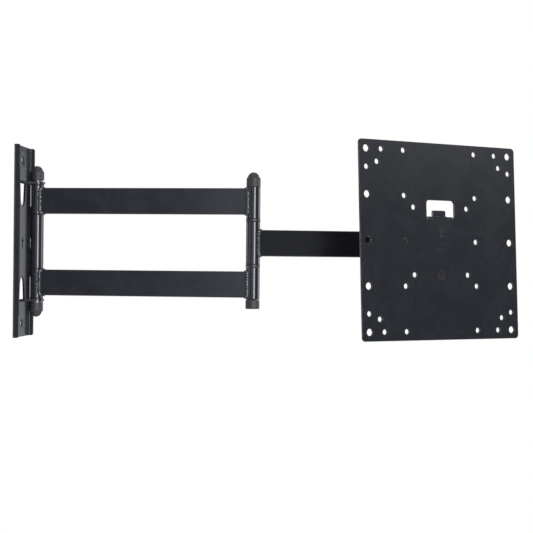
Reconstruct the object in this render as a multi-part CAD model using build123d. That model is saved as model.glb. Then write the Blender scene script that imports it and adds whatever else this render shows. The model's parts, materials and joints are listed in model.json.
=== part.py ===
"""Full motion TV wall mount: a bent wall plate, a two-tube upper arm, a one-tube forearm and a swivelling,
levelling and tilting head that carries a hole-pattern plate for the screen.

Row frame, millimetres: the origin is the centre of the wall plate's back face, +X points out of the wall,
+Z is up. Each link is drawn straight in its own frame, with its pivot axis on Z and its length along +X, and
is then turned to the stored pose.
"""

import os
from math import asin, cos, pi, radians, sin, sqrt

from build123d import *

# ---------------------------------------------------------------- driving dimensions
# stored pose, in degrees
SHOULDER_REST = -3.0  # upper arm, off straight out of the wall
ELBOW_REST = 17.0  # forearm, off in line with the upper arm
SWIVEL_REST = -68.4  # head, off in line with the forearm
TILT_REST = -3.0  # screen plate, negative faces up

# link lengths, axis to axis
UPPER_ARM = 255.0
FOREARM = 175.0

# rectangular arm tube
TUBE_H = 30.0
TUBE_T = 12.0
TUBE_WALL = 1.5
TUBE_CORNER = 1.4
TUBE_SPACING = 95.0  # centre to centre, upper arm

# wall plate, one bent sheet
SHEET = 2.5
WALL_H = 222.0
WALL_W = 70.0
WALL_DEPTH = 7.5
WALL_BEND = 3.2  # outside radius of the long bends
WALL_CORNER = 2.5  # free corners of the flanges
SHOULDER_X = 19.0  # pivot axis, out of the wall
SCREW_Z = 95.5  # wall screw holes, above and below centre
SCREW_R = 4.5
SEAT_R = 9.5  # dished seat round a wall screw
SEAT_DEPTH = 0.5
EAR_Z = 67.0  # underside of the upper ear
EAR_NOSE = 9.3
EAR_ROOT = 24.0
EAR_BEND = 1.5  # inside bend radius
WINDOW_GAP = 0.8  # the slot the punch leaves round an ear
WINDOW_DROP = 1.0  # the stretch at the bend
EDGE = 0.5  # broken edges of punched sheet
WALL_ARROW = (6.2, -7.6, 9.0, 6.0, 3.6)  # tip, tail, head width and height, shaft width

# pivots: M8 bolts in 16 mm sleeves
BOLT_R = 4.0
RUNNING = 0.06  # radial clearance of a bolt that something turns on
SLEEVE_R = 8.0
SLEEVE_CHAMFER = 0.6
BUSHED_BORE = 6.5
SEATED = 0.02  # radial clearance of a bush or a coped tube end
HEX_AF = 13.0
HEAD_H = 5.3
NUT_H = 8.0
THIN_NUT_H = 6.0
JAM_NUT_H = 4.0
ROUND_HEAD_R = 8.0
ROUND_HEAD_H = 3.4
WASHER_R = 7.5
WASHER_H = 1.6
SPRING_WASHER_R = 6.2
SPRING_WASHER_H = 2.0

# shoulder column, measured up from the middle
SHOULDER_SLEEVE_LOW = 32.0
SHOULDER_SLEEVE_TOP = 66.0
SPACER_HALF = 31.5
BUSH_BARREL = 12.0

# elbow column
ELBOW_SLEEVE_LOW = 27.5
ELBOW_SLEEVE_TOP = 64.2
MIDDLE_HALF = 24.5
BUSH_FLANGE_R = 8.25

# plastic caps
CAP_R = 8.1
CAP_BORE = 7.6
CAP_H = 16.6
CAP_SKIRT = 9.6
CAP_NECK = 11.0
CAP_NECK_R = 6.6
CAP_WALL = 1.3
FLAT_CAP_H = 9.4

# head, all measured from the swivel axis towards the screen
SWIVEL_HALF = 17.0  # half height of the swivel sleeve
SWIVEL_FLANGE = 2.0
BRACKET_T = 3.0
EAR_GAP = 0.1
SWIVEL_WEB_X = 19.0  # back face of the swivel bracket's web
SWIVEL_W = 30.0
DISC_T = 1.0
DISC_R = 11.5
YOKE_X = SWIVEL_WEB_X + BRACKET_T + DISC_T  # back face of the tilt yoke's web
YOKE_W = 32.0
YOKE_H = 40.0
TILT_X = 42.0
TILT_R = 12.0
FRICTION_T = 1.0
HEAD_WEB_X = 68.5  # back face of the head bracket's web
HEAD_W = 40.0
PLATE_X = HEAD_WEB_X + BRACKET_T  # back face of the screen plate
PIN_R = 2.0
PIN_Z = 14.0  # level guide pins, above and below the centre bolt
LEVEL_LIMIT = 5.0

# screen plate
PLATE = 220.0
PLATE_CORNER = 4.5
PLATE_RISE = 1.5  # plate centre above the tilt axis
HOLE_R = 3.0
CORNER_HOLE_R = 4.0
HOLE_CHAMFER = 0.35
SLOT_HALF_W = 19.7
SLOT_LOW = 28.0
SLOT_TOP = 46.0
SLOT_CORNER = 4.0
LIP_IN = 9.8
LIP_OUT = 18.0
LIP_BEND = 1.0
LIP_REACH = 11.0  # how far the lips reach behind the plate
LOCK_Z = -37.5
LOCK_R = 3.0
LOCK_HEAD_R = 5.0  # countersunk at 45 degrees, flush with the plate
LOCK_SUNK = 0.1  # how far the head lies below the plate's face
LOCK_SOCKET_AF = 4.0
LOCK_SOCKET = 1.6  # depth of the hexagon
LOCK_LENGTH = 16.0
TONGUE_HALF = 8.8
TONGUE_TOP = 34.8
MARK_DEPTH = 0.35
PLATE_ARROW = (15.5, -4.0, 4.4, 4.4, 1.3)  # tip, tail, head width and height, shaft width
PLATE_BAR_HALF = 6.0
PLATE_BAR_LOW = -10.6
PLATE_BAR_TOP = -9.2
NUT_AF = 10.0  # weld nut
WELD_NUT_H = 5.0

# ---------------------------------------------------------------- link frames at the stored pose
ARM = Pos(SHOULDER_X, 0, 0) * Rot(0, 0, SHOULDER_REST)
FORE = ARM * Pos(UPPER_ARM, 0, 0) * Rot(0, 0, ELBOW_REST)
HEAD = FORE * Pos(FOREARM, 0, 0) * Rot(0, 0, SWIVEL_REST)
TILT = HEAD * Pos(TILT_X, 0, 0) * Rot(0, TILT_REST, 0) * Pos(-TILT_X, 0, PLATE_RISE)
WALL = Pos(0, 0, 0)


# ---------------------------------------------------------------- small shapes
def block(x0, x1, y0, y1, z0, z1):
    """An upright box between two corners."""
    size = (x1 - x0, y1 - y0, z1 - z0)
    return Pos((x0 + x1) / 2, (y0 + y1) / 2, (z0 + z1) / 2) * Box(*size)


def disc(radius, z0, z1):
    """An upright cylinder on the Z axis."""
    return Pos(0, 0, (z0 + z1) / 2) * Cylinder(radius, z1 - z0)


def ring(outer, inner, z0, z1):
    """An upright tube on the Z axis."""
    return disc(outer, z0, z1) - disc(inner, z0 - 1, z1 + 1)


def revolved(points):
    """A solid turned round Z from (radius, z) corners."""
    outline = make_face(Polyline([(r, 0, z) for r, z in points], close=True))
    return revolve(outline, Axis.Z, 360)


def domed(points, rise):
    """A solid turned round Z from (radius, z) corners, closed by a dome that starts at the last corner."""
    edge_r, edge_z = points[-1]
    ball_r = (edge_r**2 + rise**2) / (2 * rise)
    centre_z = edge_z + rise - ball_r
    half = asin(edge_r / ball_r) / 2 if rise < edge_r else (pi - asin(edge_r / ball_r)) / 2
    middle = (ball_r * sin(half), 0, centre_z + ball_r * cos(half))
    wire = Polyline([(r, 0, z) for r, z in points])
    dome = ThreePointArc((edge_r, 0, edge_z), middle, (0, 0, edge_z + rise))
    close = Line((0, 0, edge_z + rise), (points[0][0], 0, points[0][1]))
    outline = make_face([*wire.edges(), dome, close])
    return revolve(outline, Axis.Z, 360)


def prism_x(points, x0, x1):
    """A solid whose (y, z) outline runs from x0 to x1."""
    face = make_face(Polyline([(x0, y, z) for y, z in points], close=True))
    return extrude(face, x1 - x0, dir=(1, 0, 0))


def prism_y(points, y0, y1):
    """A solid whose (x, z) outline runs from y0 to y1."""
    face = make_face(Polyline([(x, y0, z) for x, z in points], close=True))
    return extrude(face, y1 - y0, dir=(0, 1, 0))


def edges_at(shape, along, across, place):
    """The edges that run along one axis and lie at one place on another."""
    return shape.edges().filter_by(along).filter_by_position(across, place - 0.1, place + 0.1)


def mirror_z(shape):
    """The same shape below the middle plane."""
    return mirror(shape, about=Plane.XY)


def along_x(shape):
    """Lays a shape made on Z along X."""
    return Rot(0, 90, 0) * shape


def along_y(shape):
    """Lays a shape made on Z along Y."""
    return Rot(-90, 0, 0) * shape


def hexagon(z0, z1, bore=0.0):
    """A hexagonal prism with turned corners, for a bolt head or a nut."""
    corner = HEX_AF / sqrt(3)
    flat = Pos(0, 0, z0) * extrude(RegularPolygon(corner, 6), z1 - z0)
    turned = corner - 0.75
    rise = 0.45
    cone = [(0, z0), (turned, z0), (corner, z0 + rise), (corner, z1 - rise), (turned, z1), (0, z1)]
    shape = flat & revolved(cone)
    return shape - disc(bore, z0 - 1, z1 + 1) if bore else shape


def hex_bolt(z_seat, z_end):
    """An M8 bolt on Z: its head sits on z_seat and its shank runs down to z_end."""
    point = 0.8
    shank = [(0, z_end), (BOLT_R - point, z_end), (BOLT_R, z_end + point), (BOLT_R, z_seat), (0, z_seat)]
    return revolved(shank) + hexagon(z_seat, z_seat + HEAD_H)


def lock_nut(z_low, height):
    """A nut with a nylon collar, its seat at the top."""
    collar = 1.6
    body = hexagon(z_low + collar, z_low + height)
    body += disc(HEX_AF / 2 - 0.4, z_low, z_low + collar + 0.1)
    return body - disc(BOLT_R + SEATED, z_low - 1, z_low + height + 1)


def washer(z0, radius=WASHER_R, height=WASHER_H):
    """A flat washer on Z."""
    return ring(radius, BOLT_R + 0.3, z0, z0 + height)


def bush(z_face, barrel, flange):
    """A flanged nylon bush: its barrel hangs below z_face and its flange stands on it."""
    outer = BUSHED_BORE - SEATED
    shape = disc(outer, z_face - barrel, z_face) + disc(BUSH_FLANGE_R, z_face, z_face + flange)
    return shape - disc(BOLT_R + RUNNING, z_face - barrel - 1, z_face + flange + 1)


def sleeve(z0, z1, bore):
    """A turned sleeve whose outer ends carry a small chamfer."""
    low, high = z0 + SLEEVE_CHAMFER, z1 - SLEEVE_CHAMFER
    face_r = SLEEVE_R - SLEEVE_CHAMFER
    return revolved([(bore, z0), (face_r, z0), (SLEEVE_R, low), (SLEEVE_R, high), (face_r, z1), (bore, z1)])


def arm_tube(length, z_mid):
    """A hollow rectangular tube between two sleeves on Z axes, its ends coped to them."""
    outer = block(0, length, -TUBE_T / 2, TUBE_T / 2, z_mid - TUBE_H / 2, z_mid + TUBE_H / 2)
    outer = fillet(outer.edges().filter_by(Axis.X), TUBE_CORNER)
    t = TUBE_WALL
    half_t, half_h = TUBE_T / 2 - t, TUBE_H / 2 - t
    outer -= block(-1, length + 1, -half_t, half_t, z_mid - half_h, z_mid + half_h)
    reach = TUBE_H
    for x in (0, length):
        outer -= Pos(x, 0, 0) * disc(SLEEVE_R + SEATED, z_mid - reach, z_mid + reach)
    return outer


def dome_cap(z_seat):
    """A plastic cap over a bolt head: a skirt, a small shoulder and a dome, hollow inside."""
    skirt, neck, top = z_seat + CAP_SKIRT, z_seat + CAP_NECK, z_seat + CAP_H
    outer = [(0, z_seat), (CAP_R, z_seat), (CAP_R, skirt), (CAP_NECK_R, neck)]
    inner_r = CAP_NECK_R - CAP_WALL
    inner_skirt, inner_neck = skirt - CAP_WALL, neck - CAP_WALL / 2
    inner = [(0, z_seat - 1), (CAP_BORE, z_seat - 1), (CAP_BORE, inner_skirt), (inner_r, inner_neck)]
    return domed(outer, top - neck) - domed(inner, top - inner_neck - CAP_WALL)


def flat_cap(z_seat):
    """A flat-ended plastic cap over a nut."""
    top, radius = z_seat + FLAT_CAP_H, CAP_R - 0.1
    face_r, edge_z = radius - EDGE, top - EDGE
    skin = revolved([(0, z_seat), (radius, z_seat), (radius, edge_z), (face_r, top), (0, top)])
    return skin - disc(CAP_BORE, z_seat - 1, top - CAP_WALL)


# ---------------------------------------------------------------- wall side
def ear_outline(spread):
    """The plan of an ear, from the bend to its nose, grown by spread all round."""
    root = EAR_ROOT / 2 + spread
    nose = EAR_NOSE + spread
    with BuildSketch() as plan:
        with BuildLine():
            side = Line((-1, root), (SHOULDER_X, nose))
            ThreePointArc(side @ 1, (SHOULDER_X + nose, 0), (SHOULDER_X, -nose))
            Line((SHOULDER_X, -nose), (-1, -root))
            Line((-1, -root), (-1, root))
        make_face()
    return plan.sketch


def upper_ear():
    """The upper ear: the sheet turns through a quarter bend and runs out level to its nose."""
    top = EAR_Z + SHEET
    centre_z = top + EAR_BEND
    centre_x = SHEET + EAR_BEND
    outer = EAR_BEND + SHEET
    with BuildSketch(Plane.XZ) as section:
        with BuildLine():
            Line((0, centre_z + 0.01), (SHEET, centre_z + 0.01))
            Line((SHEET, centre_z + 0.01), (SHEET, centre_z))
            CenterArc((centre_x, centre_z), EAR_BEND, 180, 90)
            Line((centre_x, top), (SHOULDER_X + EAR_NOSE, top))
            Line((SHOULDER_X + EAR_NOSE, top), (SHOULDER_X + EAR_NOSE, EAR_Z))
            Line((SHOULDER_X + EAR_NOSE, EAR_Z), (centre_x, EAR_Z))
            CenterArc((centre_x, centre_z), outer, 270, -90)
            Line((0, centre_z), (0, centre_z + 0.01))
        make_face()
    strip = extrude(section.sketch, EAR_ROOT, both=True)
    plan = Pos(0, 0, EAR_Z - 1) * extrude(ear_outline(0), 10)
    shape = strip & plan
    return shape - Pos(SHOULDER_X, 0, 0) * disc(BOLT_R + 0.2, EAR_Z - 5, EAR_Z + 10)


def window_cut():
    """The opening that the upper ear was punched from, wide at the bend and round at the foot."""
    hinge_z = EAR_Z + SHEET + EAR_BEND
    turned = Rot(0, 90, 0) * Pos(WINDOW_DROP, 0, 0) * extrude(ear_outline(WINDOW_GAP), 20, both=True)
    slab = block(-10, 10, -40, 40, hinge_z - 60, hinge_z)
    return (Pos(0, 0, hinge_z) * turned) & slab


def arrow_points(tip, tail, head_w, head_h, shaft_w):
    """Corners of an upright arrow, as (y, z)."""
    neck = tip - head_h
    right = [(0, tip), (head_w / 2, neck), (shaft_w / 2, neck), (shaft_w / 2, tail)]
    return right + [(-y, z) for y, z in reversed(right[1:])]


def wall_plate():
    """The bent sheet against the wall, with its two ears, windows, screw seats and direction arrow."""
    half_w, half_h = WALL_W / 2, WALL_H / 2
    body = block(0, WALL_DEPTH, -half_w, half_w, -half_h, half_h)
    long_back = edges_at(body, Axis.Z, Axis.X, 0)
    body = fillet(long_back, WALL_BEND)
    inner = block(SHEET, WALL_DEPTH + 5, -half_w + SHEET, half_w - SHEET, -half_h - 5, half_h + 5)
    inner_back = edges_at(inner, Axis.Z, Axis.X, SHEET)
    body -= fillet(inner_back, WALL_BEND - SHEET + 0.3)
    free = edges_at(body, Axis.Y, Axis.X, WALL_DEPTH)
    body = fillet(free, WALL_CORNER)
    window = window_cut()
    body = body - window - mirror_z(window)
    ear = upper_ear()
    body = body + ear + mirror_z(ear)
    seat, over = SHEET - SEAT_DEPTH, SHEET + 5
    dish = [(0, -1), (SCREW_R, -1), (SCREW_R, seat), (SEAT_R, SHEET), (SEAT_R, over), (0, over)]
    for z in (-SCREW_Z, SCREW_Z):
        body -= Pos(0, 0, z) * along_x(revolved(dish))
    body -= prism_x(arrow_points(*WALL_ARROW), -1, SHEET + 1)
    return body


def shoulder_bolt():
    """The long bolt through both ears and the upper arm's sleeves."""
    seat = EAR_Z + SHEET + SPRING_WASHER_H
    end = -(EAR_Z + SHEET + WASHER_H + NUT_H + 2.0)
    return Pos(SHOULDER_X, 0, 0) * hex_bolt(seat, end)


def shoulder_nut():
    """The lock nut under the lower ear."""
    top = -(EAR_Z + SHEET + WASHER_H)
    return Pos(SHOULDER_X, 0, 0) * lock_nut(top - NUT_H, NUT_H)


def shoulder_spring_washer():
    """The split washer under the shoulder bolt's head."""
    z = EAR_Z + SHEET
    shape = washer(z, SPRING_WASHER_R, SPRING_WASHER_H)
    gap = block(-8, 0, -0.5, 0.5, z - 1, z + SPRING_WASHER_H + 1)
    return Pos(SHOULDER_X, 0, 0) * (shape - gap)


def shoulder_flat_washer():
    """The washer above the shoulder nut."""
    return Pos(SHOULDER_X, 0, 0) * washer(-(EAR_Z + SHEET + WASHER_H), SLEEVE_R)


def shoulder_cap_top():
    """The dome over the shoulder bolt's head."""
    return Pos(SHOULDER_X, 0, 0) * dome_cap(EAR_Z + SHEET + SPRING_WASHER_H)


def shoulder_cap_bottom():
    """The dome over the shoulder nut."""
    return Pos(SHOULDER_X, 0, 0) * mirror_z(dome_cap(EAR_Z + SHEET + WASHER_H))


# ---------------------------------------------------------------- upper arm
def upper_tube_top():
    """The upper arm's upper tube."""
    return arm_tube(UPPER_ARM, TUBE_SPACING / 2)


def upper_tube_bottom():
    """The upper arm's lower tube."""
    return arm_tube(UPPER_ARM, -TUBE_SPACING / 2)


def shoulder_sleeve_top():
    """The wall-end sleeve of the upper tube."""
    return sleeve(SHOULDER_SLEEVE_LOW, SHOULDER_SLEEVE_TOP, BUSHED_BORE)


def shoulder_sleeve_bottom():
    """The wall-end sleeve of the lower tube."""
    return mirror_z(shoulder_sleeve_top())


def shoulder_bushes():
    """Four bushes: one at each end of both shoulder sleeves; the outer two carry the ears' thrust."""
    thrust = EAR_Z - SHOULDER_SLEEVE_TOP - EAR_GAP
    upper = bush(SHOULDER_SLEEVE_TOP, BUSH_BARREL, thrust)
    lower_z = SHOULDER_SLEEVE_LOW
    inner = ring(BUSHED_BORE - SEATED, BOLT_R + RUNNING, lower_z, lower_z + BUSH_BARREL)
    return [upper, inner, mirror_z(inner), mirror_z(upper)]


def shoulder_spacer():
    """The loose spacer sleeve between the two shoulder sleeves."""
    return sleeve(-SPACER_HALF, SPACER_HALF, BOLT_R + 0.4)


def elbow_sleeve_top():
    """The elbow-end sleeve of the upper tube."""
    return Pos(UPPER_ARM, 0, 0) * sleeve(ELBOW_SLEEVE_LOW, ELBOW_SLEEVE_TOP, BOLT_R + SEATED)


def elbow_sleeve_bottom():
    """The elbow-end sleeve of the lower tube."""
    return mirror_z(elbow_sleeve_top())


def elbow_bolt():
    """The long bolt through the elbow's three sleeves."""
    end = ELBOW_SLEEVE_TOP + THIN_NUT_H + 2.0
    return Pos(UPPER_ARM, 0, 0) * hex_bolt(ELBOW_SLEEVE_TOP + WASHER_H, -end)


def elbow_washer():
    """The washer under the elbow bolt's head."""
    return Pos(UPPER_ARM, 0, 0) * washer(ELBOW_SLEEVE_TOP)


def elbow_nut():
    """The thin lock nut under the elbow."""
    return Pos(UPPER_ARM, 0, 0) * lock_nut(-ELBOW_SLEEVE_TOP - THIN_NUT_H, THIN_NUT_H)


def elbow_cap_top():
    """The dome over the elbow bolt's head."""
    return Pos(UPPER_ARM, 0, 0) * dome_cap(ELBOW_SLEEVE_TOP)


def elbow_cap_bottom():
    """The flat cap over the elbow nut, a little clear of the sleeve."""
    return Pos(UPPER_ARM, 0, 0) * mirror_z(flat_cap(ELBOW_SLEEVE_TOP + 1.6))


# ---------------------------------------------------------------- forearm
def forearm_tube():
    """The single tube between the elbow and the swivel."""
    return arm_tube(FOREARM, 0)


def elbow_sleeve_middle():
    """The forearm's sleeve, held between the upper arm's two."""
    return sleeve(-MIDDLE_HALF, MIDDLE_HALF, BUSHED_BORE)


def elbow_bushes():
    """Two flanged bushes in the forearm's elbow sleeve."""
    flange = ELBOW_SLEEVE_LOW - MIDDLE_HALF - EAR_GAP
    top = bush(MIDDLE_HALF, BUSH_BARREL, flange)
    return [top, mirror_z(top)]


def swivel_sleeve():
    """The sleeve that the head swivels on."""
    return Pos(FOREARM, 0, 0) * sleeve(-SWIVEL_HALF, SWIVEL_HALF, BUSHED_BORE)


def swivel_bushes():
    """Two flanged bushes in the swivel sleeve."""
    top = Pos(FOREARM, 0, 0) * bush(SWIVEL_HALF, BUSH_BARREL, SWIVEL_FLANGE)
    return [top, mirror_z(top)]


# ---------------------------------------------------------------- head
def round_end(centre_x, radius, back_x, half_back, y0, y1):
    """A cheek in the XZ plane: round about centre_x, running to a straight edge at back_x."""
    nose_x = centre_x + (radius if centre_x > back_x else -radius)
    with BuildSketch(Plane.XZ) as side:
        with BuildLine():
            Line((back_x, half_back), (centre_x, radius))
            ThreePointArc((centre_x, radius), (nose_x, 0), (centre_x, -radius))
            Line((centre_x, -radius), (back_x, -half_back))
            Line((back_x, -half_back), (back_x, half_back))
        make_face()
    slab = extrude(side.sketch, y1 - y0, dir=(0, 1, 0))
    return Pos(0, y0, 0) * slab


def guide_slot(x0, x1):
    """The short arc above the level axis that a guide pin runs in."""
    swing = LEVEL_LIMIT + 1.0
    radius = PIN_R + 0.25
    ends = [Rot(turn, 0, 0) * Pos(0, 0, PIN_Z) * along_x(disc(radius, x0, x1)) for turn in (-swing, swing)]
    band = along_x(ring(PIN_Z + radius, PIN_Z - radius, x0, x1))
    reach = 2 * PIN_Z
    side = reach * sin(radians(swing)), reach * cos(radians(swing))
    wedge = prism_x([(0, 0), side, (-side[0], side[1])], x0, x1)
    return (band & wedge) + ends[0] + ends[1]


def swivel_bracket():
    """The U bracket that holds the swivel sleeve between its two ears."""
    ear_low = SWIVEL_HALF + SWIVEL_FLANGE + EAR_GAP
    ear_top = ear_low + BRACKET_T
    front = SWIVEL_WEB_X + BRACKET_T
    half = SWIVEL_W / 2
    nose = 10.5
    shell = block(0, front, -half, half, -ear_top, ear_top)
    shell = fillet(edges_at(shell, Axis.Y, Axis.X, front), 4.0)
    hollow = block(-20, SWIVEL_WEB_X, -half - 1, half + 1, -ear_low, ear_low)
    hollow = fillet(edges_at(hollow, Axis.Y, Axis.X, SWIVEL_WEB_X), 1.2)
    with BuildSketch() as plan:
        with BuildLine():
            Line((front + 1, half), (SWIVEL_WEB_X - 3, half))
            Line((SWIVEL_WEB_X - 3, half), (0, nose))
            ThreePointArc((0, nose), (-nose, 0), (0, -nose))
            Line((0, -nose), (SWIVEL_WEB_X - 3, -half))
            Line((SWIVEL_WEB_X - 3, -half), (front + 1, -half))
            Line((front + 1, -half), (front + 1, half))
        make_face()
    for low, high in ((-ear_top, -ear_low), (ear_low, ear_top)):
        shell += block(-nose, 1, -half, half, low, high)
    shell = (shell - hollow) & extrude(plan.sketch, 40, both=True)
    shell -= disc(BOLT_R + SEATED, -40, 40)
    shell -= along_x(disc(BOLT_R + 0.2, 0, 40))
    for side in (0, 180):
        shell -= Rot(side, 0, 0) * guide_slot(SWIVEL_WEB_X - 1, front + 1)
    return shell


def swivel_bolt():
    """The bolt through the swivel bracket's ears."""
    outer = SWIVEL_HALF + SWIVEL_FLANGE + EAR_GAP + BRACKET_T
    return hex_bolt(outer + WASHER_H, -(outer + WASHER_H + THIN_NUT_H + 1.0))


def swivel_nut():
    """The thin lock nut under the swivel bracket."""
    outer = SWIVEL_HALF + SWIVEL_FLANGE + EAR_GAP + BRACKET_T
    return lock_nut(-(outer + WASHER_H + THIN_NUT_H), THIN_NUT_H)


def swivel_washers():
    """Washers above and below the swivel bracket."""
    outer = SWIVEL_HALF + SWIVEL_FLANGE + EAR_GAP + BRACKET_T
    top = washer(outer)
    return [top, mirror_z(top)]


def level_washer():
    """The washer behind the swivel bracket's web."""
    return along_x(washer(SWIVEL_WEB_X - WASHER_H))


def level_nut():
    """The thin nut that sets how stiffly the head levels."""
    front = SWIVEL_WEB_X - WASHER_H
    return along_x(hexagon(front - JAM_NUT_H, front, BOLT_R + SEATED))


def level_disc():
    """The friction disc between the swivel bracket and the tilt yoke."""
    back = SWIVEL_WEB_X + BRACKET_T
    return along_x(ring(DISC_R, BOLT_R + 0.2, back + 0.02, back + DISC_T - 0.05))


def tilt_yoke():
    """The U yoke that carries the tilt bolt between its two cheeks."""
    front = YOKE_X + BRACKET_T
    half_w, half_h = YOKE_W / 2, YOKE_H / 2
    cheek_in = half_w - BRACKET_T
    shell = block(YOKE_X, TILT_X + TILT_R, -half_w, half_w, -half_h, half_h)
    shell = fillet(edges_at(shell, Axis.Z, Axis.X, YOKE_X), 4.0)
    hollow = block(front, 80, -cheek_in, cheek_in, -half_h - 1, half_h + 1)
    hollow = fillet(edges_at(hollow, Axis.Z, Axis.X, front), 1.2)
    side = round_end(TILT_X, TILT_R, YOKE_X, half_h, -half_w - 1, half_w + 1)
    shell = (shell - hollow) & side
    shell -= Pos(TILT_X, 0, 0) * along_y(disc(BOLT_R + SEATED, -40, 40))
    shell -= along_x(disc(BOLT_R + SEATED, YOKE_X - 1, front + 1))
    for z in (-PIN_Z, PIN_Z):
        shell -= Pos(0, 0, z) * along_x(disc(PIN_R - 0.3, YOKE_X - 1, front + 1))
    return shell


def level_bolt():
    """The round-headed bolt that joins the tilt yoke to the swivel bracket."""
    seat = YOKE_X + BRACKET_T
    end = SWIVEL_WEB_X - WASHER_H - JAM_NUT_H - 0.6
    point_r, rim = BOLT_R - 0.6, seat + 0.8
    shank = [(0, end), (point_r, end), (BOLT_R, end + 0.6), (BOLT_R, seat)]
    return along_x(domed(shank + [(ROUND_HEAD_R, seat), (ROUND_HEAD_R, rim)], ROUND_HEAD_H))


def level_guide_pins():
    """Two riveted pins that run in the swivel bracket's short arcs and stop the levelling."""
    pins = []
    front = YOKE_X + BRACKET_T
    for z in (-PIN_Z, PIN_Z):
        pin = disc(PIN_R - 0.32, YOKE_X - 0.5, front + 0.1) + disc(PIN_R, SWIVEL_WEB_X - 0.8, YOKE_X)
        pin += disc(PIN_R + 1.2, front, front + 1.2)
        pins.append(Pos(0, 0, z) * along_x(pin))
    return pins


def tilt_spacer():
    """The tube on the tilt bolt that keeps the yoke's cheeks apart."""
    inside = YOKE_W / 2 - BRACKET_T - 0.02
    return Pos(TILT_X, 0, 0) * along_y(ring(6.2, BOLT_R + SEATED, -inside, inside))


def tilt_bolt():
    """The cross bolt that the head bracket tilts on."""
    outside = HEAD_W / 2 + WASHER_H
    return Pos(TILT_X, 0, 0) * along_y(hex_bolt(outside, -(outside + NUT_H + 2.0)))


def tilt_nut():
    """The lock nut that sets the tilt's friction."""
    outside = HEAD_W / 2 + WASHER_H
    return Pos(TILT_X, 0, 0) * along_y(lock_nut(-(outside + NUT_H), NUT_H))


def tilt_washers():
    """The two steel washers outside the head bracket's flanges."""
    shape = washer(HEAD_W / 2 + SEATED, WASHER_R, WASHER_H - SEATED)
    return [Pos(TILT_X, 0, 0) * along_y(shape), Pos(TILT_X, 0, 0) * along_y(mirror_z(shape))]


def tilt_friction_washers():
    """The two nylon washers between the yoke's cheeks and the head bracket's flanges."""
    start = YOKE_W / 2
    shape = ring(TILT_R - 1.0, BOLT_R + 0.2, start + 0.02, start + FRICTION_T - 0.05)
    return [Pos(TILT_X, 0, 0) * along_y(shape), Pos(TILT_X, 0, 0) * along_y(mirror_z(shape))]


def head_bracket():
    """The U bracket behind the screen plate: it tilts on the yoke and its tongue catches the plate."""
    half = HEAD_W / 2
    inside = YOKE_W / 2 + FRICTION_T
    drop = -PLATE_RISE  # the tilt axis seen from the plate's centre
    foot, shoulder = -45.0, SLOT_LOW - SHEET - 0.05
    flange_back = PLATE_X
    shell = block(TILT_X - TILT_R, PLATE_X, -half, half, foot, shoulder)
    shell = fillet(edges_at(shell, Axis.Z, Axis.X, PLATE_X), 3.2)
    hollow = block(0, HEAD_WEB_X, -inside, inside, foot - 1, shoulder + 1)
    hollow = fillet(edges_at(hollow, Axis.Z, Axis.X, HEAD_WEB_X), 1.0)
    shell -= hollow
    cheek = Pos(0, 0, drop) * round_end(TILT_X, TILT_R, flange_back, 20.0, -half - 1, half + 1)
    web = block(HEAD_WEB_X - 1.5, PLATE_X, -half, half, foot, shoulder)
    shell &= cheek + web
    corners = web_corner_cuts(half, foot)
    shell -= corners
    bevel = LIP_BEND + 0.3
    brim, past = shoulder + 0.01, PLATE_X + 1
    wedge = [(PLATE_X - bevel, brim), (past, brim), (past, shoulder - bevel - 1)]
    shell -= prism_y(wedge, -half - 1, half + 1)
    tongue = block(HEAD_WEB_X, PLATE_X - 0.02, -TONGUE_HALF, TONGUE_HALF, shoulder - 4, TONGUE_TOP)
    tongue = fillet(edges_at(tongue, Axis.X, Axis.Z, TONGUE_TOP), 2.0)
    shell += tongue
    shell -= Pos(TILT_X, 0, drop) * along_y(disc(BOLT_R + RUNNING, -60, 60))
    shell -= Pos(0, 0, LOCK_Z) * along_x(disc(LOCK_R + SEATED, HEAD_WEB_X - 5, PLATE_X + 5))
    return shell


def web_corner_cuts(half, foot):
    """Rounds the two lower corners of the head bracket's web."""
    radius = 8.0
    back, front = HEAD_WEB_X - 5, PLATE_X + 5
    cuts = []
    for side in (-1, 1):
        at_y = side * (half - radius)
        low_y, high_y = sorted((at_y, side * (half + 1)))
        square = block(back, front, low_y, high_y, foot - 1, foot + radius)
        cuts.append(square - Pos(0, at_y, foot + radius) * along_x(disc(radius, back - 1, front + 1)))
    return cuts[0] + cuts[1]


def plate_holes():
    """Every round hole of the screen plate as (y, z, radius)."""
    holes = []
    for sy in (-1, 1):
        holes.append((sy * 100, 0, CORNER_HOLE_R))
        holes.append((sy * 50, 0, HOLE_R))
        for sz in (-1, 1):
            holes += [(sy * 100, sz * 100, CORNER_HOLE_R), (sy * 100, sz * 50, CORNER_HOLE_R)]
            for y, z in ((80, 100), (50, 100), (86, 86), (100, 80), (50, 50), (37.5, 37.5)):
                holes.append((sy * y, sz * z, HOLE_R))
    return holes


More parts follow.
